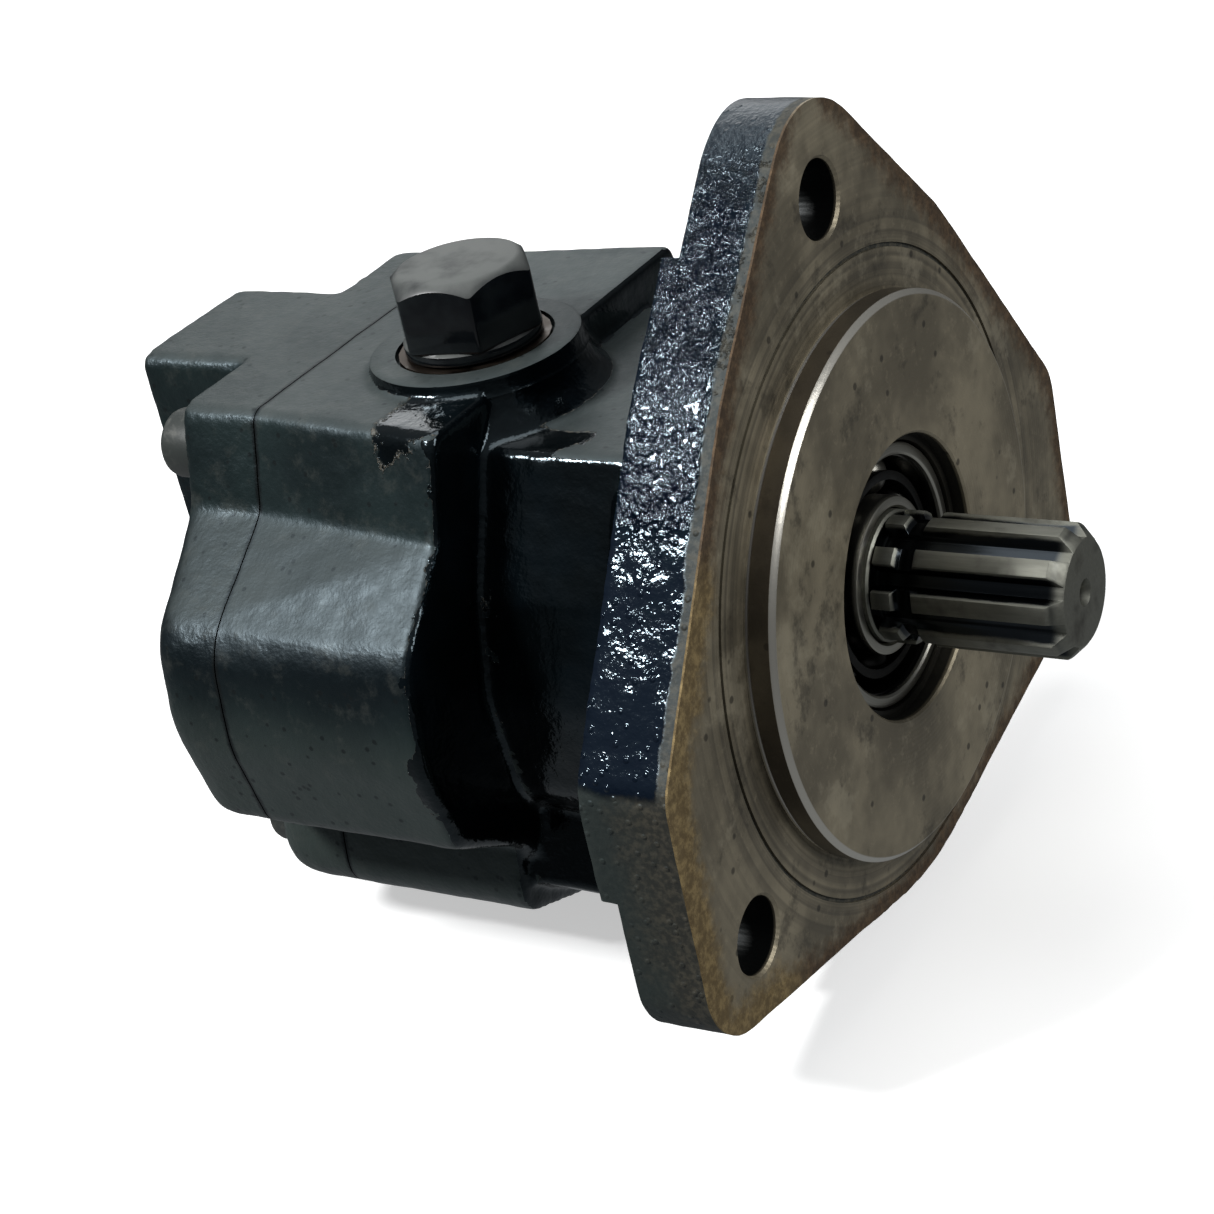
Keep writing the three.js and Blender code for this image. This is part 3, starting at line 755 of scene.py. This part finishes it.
class Shader:
    """A Principled material whose textures are placed in object space, in millimetres."""

    def __init__(self, name, metallic=0.0, specular=0.5, tint=(1, 1, 1)):
        self.material = bpy.data.materials.new(name)
        self.material.use_nodes = True
        self.tree = self.material.node_tree
        self.surface = self.tree.nodes["Principled BSDF"]
        self.surface.inputs["Metallic"].default_value = metallic
        self.surface.inputs["Specular IOR Level"].default_value = specular
        self.surface.inputs["Specular Tint"].default_value = (*tint, 1)
        object_space = self.add("ShaderNodeTexCoord").outputs["Object"]
        self.place = self.vector("SCALE", object_space, scale=1 / MM)
        self.axes = self.add("ShaderNodeSeparateXYZ", {0: self.place}).outputs
        geometry = self.add("ShaderNodeNewGeometry")
        to_object = self.add("ShaderNodeVectorTransform", {0: geometry.outputs["Normal"]})
        to_object.vector_type = "NORMAL"
        to_object.convert_from, to_object.convert_to = "WORLD", "OBJECT"
        self.facing = self.add("ShaderNodeSeparateXYZ", {0: to_object.outputs[0]}).outputs

    def add(self, kind, inputs=None, **settings):
        node = self.tree.nodes.new(kind)
        for key, value in settings.items():
            setattr(node, key, value)
        for key, value in (inputs or {}).items():
            self.feed(node.inputs[key], value)
        return node

    def feed(self, socket, value):
        if isinstance(value, bpy.types.NodeSocket):
            self.tree.links.new(value, socket)
        elif isinstance(value, tuple) and len(value) == 3 and socket.type == "RGBA":
            socket.default_value = (*value, 1)
        else:
            socket.default_value = value

    def vector(self, operation, first, second=(0, 0, 0), scale=1.0):
        node = self.add("ShaderNodeVectorMath", {0: first}, operation=operation)
        self.feed(node.inputs[1], second)
        node.inputs[3].default_value = scale
        return node.outputs["Value" if operation in ("LENGTH", "DOT_PRODUCT") else "Vector"]

    def math(self, operation, first, second=0.0, third=0.0):
        node = self.add("ShaderNodeMath", {0: first, 1: second, 2: third}, operation=operation)
        return node.outputs[0]

    def times(self, first, second):
        return self.math("MULTIPLY", first, second)

    def inverse(self, value):
        return self.math("SUBTRACT", 1, value)

    def ramp(self, value, low, high):
        """0 below low and 1 above high, or the other way round where low is the larger."""
        node = self.add("ShaderNodeMapRange", {"Value": value, "From Min": low, "From Max": high})
        node.interpolation_type = "SMOOTHSTEP"
        return node.outputs[0]

    def noise(self, size, detail=3, roughness=0.55, stretch=(1, 1, 1), place=None):
        """Noise from about 0.25 to 0.75 whose lumps are about size millimetres wide."""
        spot = self.vector("MULTIPLY", place or self.place, stretch)
        inputs = {"Vector": spot, "Scale": 1 / size, "Detail": detail, "Roughness": roughness}
        return self.add("ShaderNodeTexNoise", inputs).outputs["Fac"]

    def cells(self, size, feature="F1", stretch=(1, 1, 1)):
        spot = self.vector("MULTIPLY", self.place, stretch)
        node = self.add("ShaderNodeTexVoronoi", {"Vector": spot, "Scale": 1 / size}, feature=feature)
        return node.outputs["Distance"]

    def blend(self, factor, first, second):
        """A colour between two colours, or a number between two numbers."""
        colours = isinstance(first, tuple) or getattr(first, "type", "") == "RGBA"
        node = self.add("ShaderNodeMix", data_type="RGBA" if colours else "FLOAT")
        low, high = (6, 7) if colours else (2, 3)
        self.feed(node.inputs[0], factor)
        self.feed(node.inputs[low], first)
        self.feed(node.inputs[high], second)
        return node.outputs[2 if colours else 0]

    def bump(self, height, depth, strength=1.0):
        """Height 0 to 1 raises the surface by up to depth millimetres."""
        inputs = {"Height": height, "Distance": depth * MM, "Strength": strength}
        before = self.surface.inputs["Normal"].links
        if before:
            inputs["Normal"] = before[0].from_socket
        self.feed(self.surface.inputs["Normal"], self.add("ShaderNodeBump", inputs).outputs[0])

    def done(self, colour, roughness):
        self.feed(self.surface.inputs["Base Color"], colour)
        self.feed(self.surface.inputs["Roughness"], roughness)
        return self.material

    def radius(self):
        """Distance from the shaft axis."""
        return self.vector("LENGTH", self.vector("MULTIPLY", self.place, (0, 1, 1)))


# ---------------------------------------------------------------- materials

def paint_layers(shader):
    """The dusty, satin casting paint that the housing and the cover share. It is lighter on faces that face
    up (dust, with a painted sheen of the overhead light) and lighter low on the sides (painted bounce light
    from the floor, with dust).
    """
    x, _, z = shader.axes
    up = shader.ramp(shader.facing[2], 0.55, 0.9)
    cloud = shader.ramp(shader.noise(22, 4), 0.35, 0.7)
    grain = shader.noise(2.4, 3, 0.6)
    side = shader.blend(cloud, (0.0060, 0.0105, 0.0110), (0.0120, 0.0205, 0.0205))
    # Lighter towards the bottom of the sides: a painted bounce light from the pale floor, mixed with dust.
    floor_bounce_and_dust = shader.times(shader.ramp(z, 4, -14), 0.75)
    side = shader.blend(floor_bounce_and_dust, side, (0.045, 0.057, 0.052))
    band = shader.times(shader.ramp(z, 26, 23), shader.ramp(z, -4, 8))
    side = shader.blend(shader.times(band, 0.8), side, (0.0015, 0.0035, 0.0052))
    # Faces that face up get a lighter colour: dust, and a painted sheen of the light from overhead.
    top = shader.blend(cloud, (0.026, 0.032, 0.031), (0.040, 0.047, 0.045))
    colour = shader.blend(up, side, top)
    dust = shader.ramp(shader.noise(5, 5, 0.7), 0.5, 0.75)
    colour = shader.blend(shader.times(dust, 0.32), colour, (0.070, 0.074, 0.066))
    seam = shader.math("ABSOLUTE", shader.math("SUBTRACT", x, (BODY_REAR + COVER_FRONT) / 2))
    seam = shader.ramp(shader.math("MULTIPLY_ADD", grain, 1.1, seam), 1.6, 0.8)
    colour = shader.blend(seam, colour, (0.004, 0.005, 0.005))
    flecks = shader.ramp(shader.cells(3.2), 0.2, 0.1)
    colour = shader.blend(shader.times(flecks, 0.75), colour, (0.005, 0.006, 0.006))
    rough = shader.blend(up, shader.blend(grain, 0.26, 0.46), shader.blend(grain, 0.48, 0.66))
    return colour, rough, up


def casting_bumps(shader, strength=0.8):
    shader.bump(shader.noise(3.2, 4, 0.6), 0.35, strength)
    shader.bump(shader.noise(0.9, 2, 0.5), 0.10, 0.7)


def cover_paint():
    shader = Shader("cover_paint", specular=0.4, tint=PAINT_SHEEN)
    colour, rough, _ = paint_layers(shader)
    casting_bumps(shader)
    return shader.done(colour, rough)


def wet_area(shader, wander, up):
    """Where gloss paint ran: over the neck, the front of the block and the boss in front."""
    x, y, z = shader.axes
    front = shader.ramp(shader.math("ADD", x, wander), -58.5, -56.5)
    facing_front = shader.times(shader.ramp(shader.facing[0], 0.3, 0.55), shader.ramp(x, -66, -63))
    front = shader.math("MAXIMUM", front, facing_front)
    from_boss = shader.vector("SUBTRACT", shader.place, (BOSS_X, BOSS_Y, 0))
    from_boss = shader.vector("LENGTH", shader.vector("MULTIPLY", from_boss, (1, 1, 0)))
    from_boss = shader.math("MULTIPLY_ADD", wander, 0.4, from_boss)
    skirt = shader.ramp(from_boss, 27, 22)
    dry_top = shader.inverse(shader.times(up, 0.97))
    wet = shader.times(shader.math("MAXIMUM", front, skirt), dry_top)
    spill = shader.times(shader.ramp(from_boss, 36, 31), shader.ramp(x, BOSS_X - 8, BOSS_X + 4))
    spill = shader.times(spill, shader.ramp(y, BOSS_Y - 10, BOSS_Y - 15))
    spill = shader.times(spill, shader.ramp(z, BOSS_TOP - 0.4, BOSS_TOP - 1))
    wet = shader.math("MAXIMUM", wet, spill)
    ragged = shader.math("MULTIPLY_ADD", shader.noise(2.2, 4, 0.65), 0.6, -0.3)
    return shader.ramp(shader.math("ADD", wet, ragged), 0.38, 0.62)


def rim_layers(shader, wander, colour, rough):
    """The flange's rim: glossy navy paint over pebbled iron, bare at its front edge and its foot."""
    x, _, z = shader.axes
    rim = shader.ramp(x, -18.2, -16.6)
    speck = shader.noise(1.4, 3, 0.6)
    edge = shader.ramp(shader.math("MULTIPLY_ADD", wander, 0.12, x), -2.6, -1.9)
    foot = shader.ramp(shader.math("MULTIPLY_ADD", wander, 0.15, z), 3, 1)
    bare = shader.math("MAXIMUM", edge, foot)
    painted = shader.times(rim, shader.inverse(bare))
    faded = shader.ramp(z, 76, 90)
    navy = shader.blend(shader.times(faded, 0.8), (0.0030, 0.0062, 0.0130), (0.022, 0.028, 0.034))
    colour = shader.blend(painted, colour, navy)
    gloss = shader.blend(speck, 0.04, 0.12)
    rough = shader.blend(painted, rough, shader.blend(faded, gloss, 0.42))
    worn = shader.ramp(shader.math("MULTIPLY_ADD", wander, 0.5, x), -13, -3)
    dark_earth = shader.blend(speck, (0.010, 0.015, 0.014), (0.036, 0.042, 0.036))
    earth = shader.blend(shader.ramp(speck, 0.4, 0.66), (0.026, 0.024, 0.018), (0.062, 0.054, 0.038))
    earth = shader.blend(worn, dark_earth, earth)
    colour = shader.blend(shader.times(rim, bare), colour, earth)
    rough = shader.blend(shader.times(rim, bare), rough, 0.62)
    from_chip = shader.vector("SUBTRACT", shader.place, CHIP)
    from_chip = shader.vector("LENGTH", shader.vector("MULTIPLY", from_chip, (1, 1, 0.7)))
    chip = shader.ramp(shader.math("MULTIPLY_ADD", wander, 0.08, from_chip), 2.0, 1.3)
    colour = shader.blend(chip, colour, (0.20, 0.21, 0.21))
    rim_bumps(shader, rim, painted)
    return colour, rough


def rim_bumps(shader, rim, painted):
    """Pebbles under the paint, flatter on the lower half, with grit all over."""
    z = shader.axes[2]
    pebbles = shader.ramp(shader.noise(1.5, 3, 0.55, (1.2, 0.85, 0.85)), 0.34, 0.66)
    glossy_half = shader.times(shader.ramp(z, 34, 38), shader.ramp(z, 92, 78))
    height = shader.blend(glossy_half, 0.05, 1.0)
    shader.bump(shader.times(shader.times(pebbles, height), painted), 0.17, 1.0)
    grit = shader.ramp(shader.cells(2.3), 0.3, 0.1)
    shader.bump(shader.times(grit, rim), 0.22, 0.8)


def housing_paint():
    """Dusty paint behind, wet gloss paint in front of the plug, and a pebbled flange rim."""
    shader = Shader("housing_paint", specular=0.45, tint=PAINT_SHEEN)
    colour, rough, up = paint_layers(shader)
    wander = shader.math("MULTIPLY_ADD", shader.noise(9, 4, 0.65), 26, -13)
    wet = wet_area(shader, wander, up)
    deep = shader.ramp(shader.noise(14, 2), 0.4, 0.65)
    gloss = shader.blend(deep, (0.0010, 0.0018, 0.0022), (0.0018, 0.0036, 0.0050))
    colour = shader.blend(wet, colour, gloss)
    rough = shader.blend(wet, rough, shader.blend(shader.noise(4, 3), 0.05, 0.2))
    lip = shader.times(shader.times(wet, 4), shader.inverse(wet))
    crumbs = shader.ramp(shader.noise(1.3, 4, 0.7), 0.46, 0.6)
    lip = shader.times(shader.ramp(lip, 0.1, 0.6), crumbs)
    colour = shader.blend(shader.times(lip, 0.8), colour, (0.12, 0.11, 0.09))
    casting_bumps(shader, 0.25)
    runs = shader.times(shader.noise(3, 2, 0.5, (1, 1, 0.2)), wet)
    shader.bump(runs, 0.3, 0.5)
    shader.bump(lip, 0.5, 0.8)
    colour, rough = rim_layers(shader, wander, colour, rough)
    return shader.done(colour, rough)


def rim_distance(shader):
    """How far a point of the mounting face lies inside the flange's outline."""
    _, y, z = shader.axes
    across = shader.math("ABSOLUTE", y)
    distance = None
    for (y0, z0, _), (y1, z1, _) in zip(FLANGE_CORNERS, FLANGE_CORNERS[1:]):
        length = math.hypot(y1 - y0, z1 - z0)
        ny, nz = (z1 - z0) / length, (y0 - y1) / length
        offset = -(ny * y0 + nz * z0)
        line = shader.math("MULTIPLY_ADD", z, nz, offset)
        line = shader.math("MULTIPLY_ADD", across, ny, line)
        distance = line if distance is None else shader.math("SMOOTH_MIN", distance, line, 6)
    return distance


def turned_iron(shader, cloud, speck):
    """Mottled khaki iron with turned rings round the spigot, stains, pale patches and pits."""
    radius = shader.radius()
    colour = shader.blend(shader.ramp(cloud, 0.36, 0.66), (0.190, 0.166, 0.118), (0.345, 0.303, 0.218))
    grain = shader.times(shader.ramp(speck, 0.52, 0.72), 0.5)
    colour = shader.blend(grain, colour, (0.40, 0.345, 0.245))
    bands = {"W": radius, "Scale": 0.55, "Detail": 4}
    bands = shader.add("ShaderNodeTexNoise", bands, noise_dimensions="1D").outputs["Fac"]
    outside = shader.ramp(radius, PILOT_RADIUS + 0.2, PILOT_RADIUS + 0.6)
    turned_band = shader.times(outside, shader.blend(shader.ramp(radius, 66, 60), 0.14, 0.5))
    rings = shader.times(shader.ramp(bands, 0.36, 0.66), turned_band)
    colour = shader.blend(rings, colour, (0.060, 0.055, 0.046))
    stains = shader.ramp(shader.noise(11, 5, 0.7), 0.54, 0.68)
    colour = shader.blend(shader.times(stains, 0.6), colour, (0.050, 0.046, 0.036))
    pale = shader.ramp(shader.noise(16, 5, 0.7), 0.54, 0.66)
    colour = shader.blend(shader.times(pale, 0.5), colour, (0.47, 0.42, 0.31))
    pits = shader.ramp(shader.cells(6.5), 0.13, 0.07)
    return shader.blend(shader.times(pits, 0.7), colour, (0.03, 0.028, 0.024))


def rim_rust(shader, colour, speck):
    """Rust along the flange's outline, golden on the left-hand side and brown elsewhere."""
    x, y, z = shader.axes
    wander = shader.math("MULTIPLY_ADD", shader.noise(5, 5, 0.7), 9, -4.5)
    edge = shader.math("ADD", rim_distance(shader), wander)
    tan_side = shader.times(shader.ramp(y, -46, -56), shader.ramp(z, 36, 26))
    edge = shader.math("MULTIPLY_ADD", tan_side, -2.5, edge)
    rust = shader.times(shader.ramp(edge, 6, 1), shader.ramp(x, 0.6, 0.2))
    rusty = shader.ramp(speck, 0.4, 0.66)
    brown = shader.blend(rusty, (0.062, 0.040, 0.026), (0.14, 0.090, 0.052))
    tan = shader.blend(rusty, (0.15, 0.105, 0.048), (0.33, 0.245, 0.115))
    return rust, shader.blend(shader.times(rust, 0.9), colour, shader.blend(tan_side, brown, tan))


def spigot_and_bores(shader, colour):
    """Painted shade on the spigot's wall, painted highlights on its chamfer and on the edge of its
    undercut, and painted shade in the holes.
    """
    x = shader.axes[0]
    radius = shader.radius()
    on_spigot = shader.times(shader.ramp(x, 0.1, 0.4), shader.ramp(radius, 48.9, 49.2))
    wall = shader.times(on_spigot, shader.ramp(x, PILOT_HEIGHT - 0.8, PILOT_HEIGHT - 1))
    chamfer = shader.math("SUBTRACT", on_spigot, wall)
    # Painted shade: the spigot's wall is the same iron, coloured darker.
    colour = shader.blend(shader.times(wall, 0.75), colour, (0.072, 0.062, 0.054))
    # Painted highlight along the edge of the undercut at the wall's foot.
    foot_highlight = shader.times(wall, shader.ramp(x, 1.0, 0.7))
    colour = shader.blend(foot_highlight, colour, (0.34, 0.32, 0.29))
    # Painted highlight on the chamfer.
    colour = shader.blend(chamfer, colour, (0.50, 0.48, 0.43))
    # Painted shade inside the ear holes and the bearing pocket, near black on the bare iron.
    in_hole = shader.times(shader.ramp(x, -0.5, -1.1), shader.ramp(radius, 60, 61))
    in_pocket = shader.times(shader.ramp(radius, 25.9, 25.5), shader.ramp(x, 4.9, 4.3))
    dark = shader.math("MAXIMUM", in_hole, shader.times(in_pocket, 0.93))
    return on_spigot, shader.blend(dark, colour, (0.006, 0.007, 0.007))


def machined_iron():
    """Bare cast iron: the mounting face, the spigot and every bore."""
    shader = Shader("machined_iron", metallic=0.75, specular=0.5)
    cloud = shader.noise(24, 4, 0.6)
    speck = shader.noise(2.2, 5, 0.75)
    rust, colour = rim_rust(shader, turned_iron(shader, cloud, speck), speck)
    on_spigot, colour = spigot_and_bores(shader, colour)
    tool_marks = shader.math("SINE", shader.times(shader.radius(), 2 * math.pi / 0.9))
    tool_marks = shader.math("MULTIPLY_ADD", tool_marks, 0.5, shader.times(speck, 2))
    shader.bump(tool_marks, 0.03, 0.6)
    shader.bump(shader.times(rust, shader.noise(1.6, 4, 0.7)), 0.22, 0.8)
    rough = shader.blend(shader.ramp(cloud, 0.35, 0.7), 0.42, 0.56)
    rough = shader.blend(rust, rough, 0.75)
    return shader.done(colour, shader.blend(on_spigot, rough, 0.3))


def plug_paint():
    shader = Shader("plug_paint", specular=0.5)
    up = shader.ramp(shader.facing[2], 0.35, 0.95)
    cloud = shader.noise(7, 4)
    # Faces that face up get a lighter, rougher colour: dust, and a painted sheen of the light from
    # overhead.
    colour = shader.blend(up, (0.0028, 0.0036, 0.0048), (0.085, 0.092, 0.088))
    colour = shader.blend(shader.ramp(cloud, 0.4, 0.8), colour, (0.010, 0.013, 0.014))
    shader.bump(shader.noise(2.5, 3), 0.05, 0.6)
    return shader.done(colour, shader.blend(up, shader.blend(cloud, 0.05, 0.2), 0.6))


def bolt_paint():
    shader = Shader("bolt_paint", specular=0.45)
    worn = shader.ramp(shader.noise(3, 5, 0.7), 0.5, 0.75)
    colour = shader.blend(worn, (0.035, 0.040, 0.038), (0.085, 0.088, 0.080))
    shader.bump(shader.noise(1.2, 3), 0.06, 0.6)
    return shader.done(colour, shader.blend(worn, 0.4, 0.6))


def ground_steel(name, low, high, rough_low, rough_high, oil=0.5, stretch=(0.12, 1, 1)):
    """Metal with fine drawn or ground lines and patches of dark oil."""
    shader = Shader(name, metallic=1.0)
    lines = shader.noise(0.5, 3, 0.6, stretch)
    film = shader.ramp(shader.noise(5, 4, 0.65), 0.48, 0.72)
    colour = shader.blend(lines, low, high)
    dark = tuple(channel * 0.3 for channel in low)
    colour = shader.blend(shader.times(film, oil), colour, dark)
    shader.bump(lines, 0.02, 0.5)
    return shader.done(colour, shader.blend(film, rough_high, rough_low))


def spline_steel():
    """Steel-grey teeth, darker in the grooves between them behind the tip."""
    shader = Shader("spline_steel", metallic=1.0)
    x = shader.axes[0]
    radius = shader.radius()
    lines = shader.noise(0.6, 3, 0.6, (0.1, 1, 1))
    cloud = shader.noise(6, 4)
    steel = shader.blend(lines, (0.155, 0.157, 0.135), (0.255, 0.257, 0.222))
    steel = shader.blend(shader.ramp(cloud, 0.5, 0.8), steel, (0.10, 0.098, 0.085))
    # Darker in the grooves between the teeth, behind the tip.
    groove = shader.ramp(shader.math("ADD", radius, cloud), 11.9, 11.2)
    behind_tip = shader.ramp(x, SHAFT_TIP - 0.6, SHAFT_TIP - 3.0)
    groove_darkening = shader.times(groove, behind_tip)
    colour = shader.blend(groove_darkening, steel, (0.022, 0.026, 0.030))
    shader.bump(lines, 0.03, 0.5)
    return shader.done(colour, shader.blend(groove_darkening, shader.blend(cloud, 0.44, 0.6), 0.2))


def race_steel():
    """Bright ground faces on the races, and painted shade, nearly black, on everything behind the front
    face, the balls too, less dark towards the top as painted light.
    """
    shader = Shader("race_steel", metallic=1.0)
    x, _, z = shader.axes
    cloud = shader.noise(4, 4)
    lines = shader.add("ShaderNodeTexNoise", {"W": shader.radius(), "Scale": 3.0}, noise_dimensions="1D")
    steel = shader.blend(lines.outputs["Fac"], (0.30, 0.29, 0.25), (0.46, 0.45, 0.40))
    # Painted shade behind the front face, eased towards the top where light falls in; the oil mask below
    # holds this painted shade.
    behind = shader.ramp(x, BEARING_FRONT - 0.5, BEARING_FRONT - 1.2)
    lit = shader.ramp(z, 8, 14)
    oil = shader.times(behind, shader.blend(lit, 0.93, 0.6))
    shader.bump(lines.outputs["Fac"], 0.015, 0.5)
    return shader.done(shader.blend(oil, steel, (0.012, 0.012, 0.013)), shader.blend(cloud, 0.26, 0.42))


def rubber(name):
    shader = Shader(name, specular=0.4)
    cloud = shader.noise(4, 4)
    shader.bump(shader.noise(0.7, 2), 0.05, 0.5)
    return shader.done(shader.blend(cloud, (0.010, 0.010, 0.010), (0.03, 0.03, 0.028)), 0.62)


def slot_materials():
    """One material for each slot of the record."""
    return {
        "housing_paint": housing_paint(),
        "cover_paint": cover_paint(),
        "plug_paint": plug_paint(),
        "bolt_steel": bolt_paint(),
        "shaft_steel": spline_steel(),
        "bearing_steel": race_steel(),
        "cage_steel": ground_steel("cage_steel", (0.008, 0.008, 0.008), (0.018, 0.018, 0.017), 0.3, 0.45),
        "rubber": rubber("rubber"),
        "bronze": ground_steel("bronze", (0.30, 0.17, 0.07), (0.42, 0.26, 0.11), 0.25, 0.4),
        "slipper_brass": ground_steel("slipper_brass", (0.42, 0.29, 0.10), (0.58, 0.42, 0.17), 0.2, 0.34),
        "seal_metal": ground_steel("seal_metal", (0.035, 0.03, 0.026), (0.08, 0.06, 0.045), 0.3, 0.5),
        "internal_steel": ground_steel("internal_steel", (0.28, 0.28, 0.27), (0.42, 0.42, 0.40), 0.18, 0.3),
        "internal_iron": ground_steel("internal_iron", (0.10, 0.095, 0.09), (0.18, 0.17, 0.16), 0.35, 0.5),
        "spring_steel": ground_steel("spring_steel", (0.12, 0.115, 0.11), (0.22, 0.21, 0.20), 0.25, 0.4),
    }


# ---------------------------------------------------------------- putting it together

def is_bare_iron(centre):
    """True on the mounting face, the spigot and in every bore, which carry no paint."""
    if centre.x > -0.3:
        return True
    if math.hypot(centre.y, centre.z) < 33.6:
        return True
    return any(math.hypot(centre.y - y, centre.z - z) < EAR_HOLE + 0.2 for y, z in ear_places())


def dress(piece, body, slot, materials, *replaced):
    piece.data.materials.clear()
    piece.data.materials.append(materials[slot])
    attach(piece, body)
    if replaced:
        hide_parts(*replaced)
    return piece


def build_outside(materials):
    iron = machined_iron()
    housing = dress(front_housing(), "housing", "housing_paint", materials, "front_housing")
    housing.data.materials.append(iron)
    for face in housing.data.polygons:
        face.material_index = int(is_bare_iron(face.center / MM))
    dress(rear_cover(), "housing", "cover_paint", materials, "rear_cover")
    for i, place in enumerate(BOLT_PLACES, 1):
        dress(cover_bolt(i, place), "housing", "bolt_steel", materials, f"cover_bolt_{i}")
    dress(hex_plug(), "housing", "plug_paint", materials, "hex_plug")
    dress(splined_shaft(), "rotor", "shaft_steel", materials, "drive_shaft")
    dress(outer_race(), "housing", "bearing_steel", materials, "bearing_outer_race")
    dress(inner_race(), "rotor", "bearing_steel", materials, "bearing_inner_race")
    dress(ball_cage(), "ball_set", "cage_steel", materials, "bearing_cage")
    for i in range(BALL_COUNT):
        dress(bearing_ball(i), "ball_set", "bearing_steel", materials, f"bearing_ball_{i + 1}")


def paint_inside(materials):
    """Gives every CAD node that stays in view of a cut or a pose its slot's material."""
    for part in frame["record"]["subparts"]:
        node = nodes[part["node"]]
        node.data.materials.clear()
        node.data.materials.append(materials[part["material_slot"]])


# ---------------------------------------------------------------- stage, lights and camera

def floor():
    low = cad_bounds[0][2]
    bm = bmesh.new()
    size = 2.5
    corners = [(-size, -size), (size, -size), (size, size), (-size, size)]
    bm.faces.new([bm.verts.new((x / MM, y / MM, low / MM - 0.5)) for x, y in corners])
    plane = make_object("floor", bm)
    shader = Shader("pale_floor", specular=0.1)
    shader.surface.inputs["Emission Color"].default_value = (1, 1, 1, 1)
    shader.surface.inputs["Emission Strength"].default_value = 0.5
    shade_of_white = shader.blend(shader.noise(400, 2), (0.72, 0.72, 0.72), (0.75, 0.75, 0.75))
    plane.data.materials.append(shader.done(shade_of_white, 0.9))
    plane.visible_glossy = False
    plane.visible_diffuse = False


def soft_light(name, direction, distance, size, power):
    data = bpy.data.lights.new(name, "AREA")
    data.shape = "DISK"
    data.size = size
    data.energy = power
    lamp = bpy.data.objects.new(name, data)
    way = Vector(direction).normalized()
    lamp.location = Vector((-0.04, 0, 0)) + way * distance
    lamp.rotation_mode = "QUATERNION"
    lamp.rotation_quaternion = (-way).to_track_quat("-Z", "Y")
    bpy.context.scene.collection.objects.link(lamp)


def world():
    """A studio that is bright overhead and underfoot and dark at the height of the object."""
    sky = bpy.data.worlds.new("studio")
    sky.use_nodes = True
    tree = sky.node_tree
    direction = tree.nodes.new("ShaderNodeTexCoord")
    split = tree.nodes.new("ShaderNodeSeparateXYZ")
    height = tree.nodes.new("ShaderNodeMath")
    height.operation = "ABSOLUTE"
    strength = tree.nodes.new("ShaderNodeMath")
    strength.operation = "MULTIPLY_ADD"
    strength.inputs[1].default_value = 0.3
    strength.inputs[2].default_value = 0.04
    tree.links.new(direction.outputs["Generated"], split.inputs[0])
    tree.links.new(split.outputs["Z"], height.inputs[0])
    tree.links.new(height.outputs[0], strength.inputs[0])
    background = tree.nodes["Background"]
    background.inputs["Color"].default_value = (0.93, 0.97, 1, 1)
    tree.links.new(strength.outputs[0], background.inputs["Strength"])
    bpy.context.scene.world = sky


def camera():
    azimuth, elevation, roll = math.radians(36.16), math.radians(27.01), math.radians(-12.57)
    right = Vector((math.cos(azimuth), math.sin(azimuth), 0))
    back = Vector((
        math.sin(azimuth) * math.cos(elevation),
        -math.cos(azimuth) * math.cos(elevation),
        math.sin(elevation),
    ))
    up = back.cross(right)
    rolled_right = math.cos(roll) * right + math.sin(roll) * up
    rolled_up = math.cos(roll) * up - math.sin(roll) * right
    data = bpy.data.cameras.new("camera")
    data.sensor_width = 36
    data.lens = 80.07
    data.clip_start, data.clip_end = 0.01, 20
    eye = bpy.data.objects.new("camera", data)
    turn = Matrix((rolled_right, rolled_up, back)).transposed()
    place = 0.47278 * back - 0.04832 * rolled_right - 0.00568 * rolled_up
    eye.matrix_world = Matrix.Translation(place) @ turn.to_4x4()
    bpy.context.scene.collection.objects.link(eye)
    bpy.context.scene.camera = eye


bpy.context.scene.view_settings.view_transform = "Standard"
camera()
world()
floor()
soft_light("ceiling", (-0.15, 0.1, 1), 1.4, 0.9, 5.5)
soft_light("glint", (-0.468, -0.545, 0.695), 1.3, 0.24, 17)
soft_light("front", (0.9, 0.05, 0.5), 1.5, 0.8, 13)
soft_light("back", (-0.5, 0.75, 0.5), 1.5, 0.9, 4)
slots = slot_materials()
paint_inside(slots)
build_outside(slots)
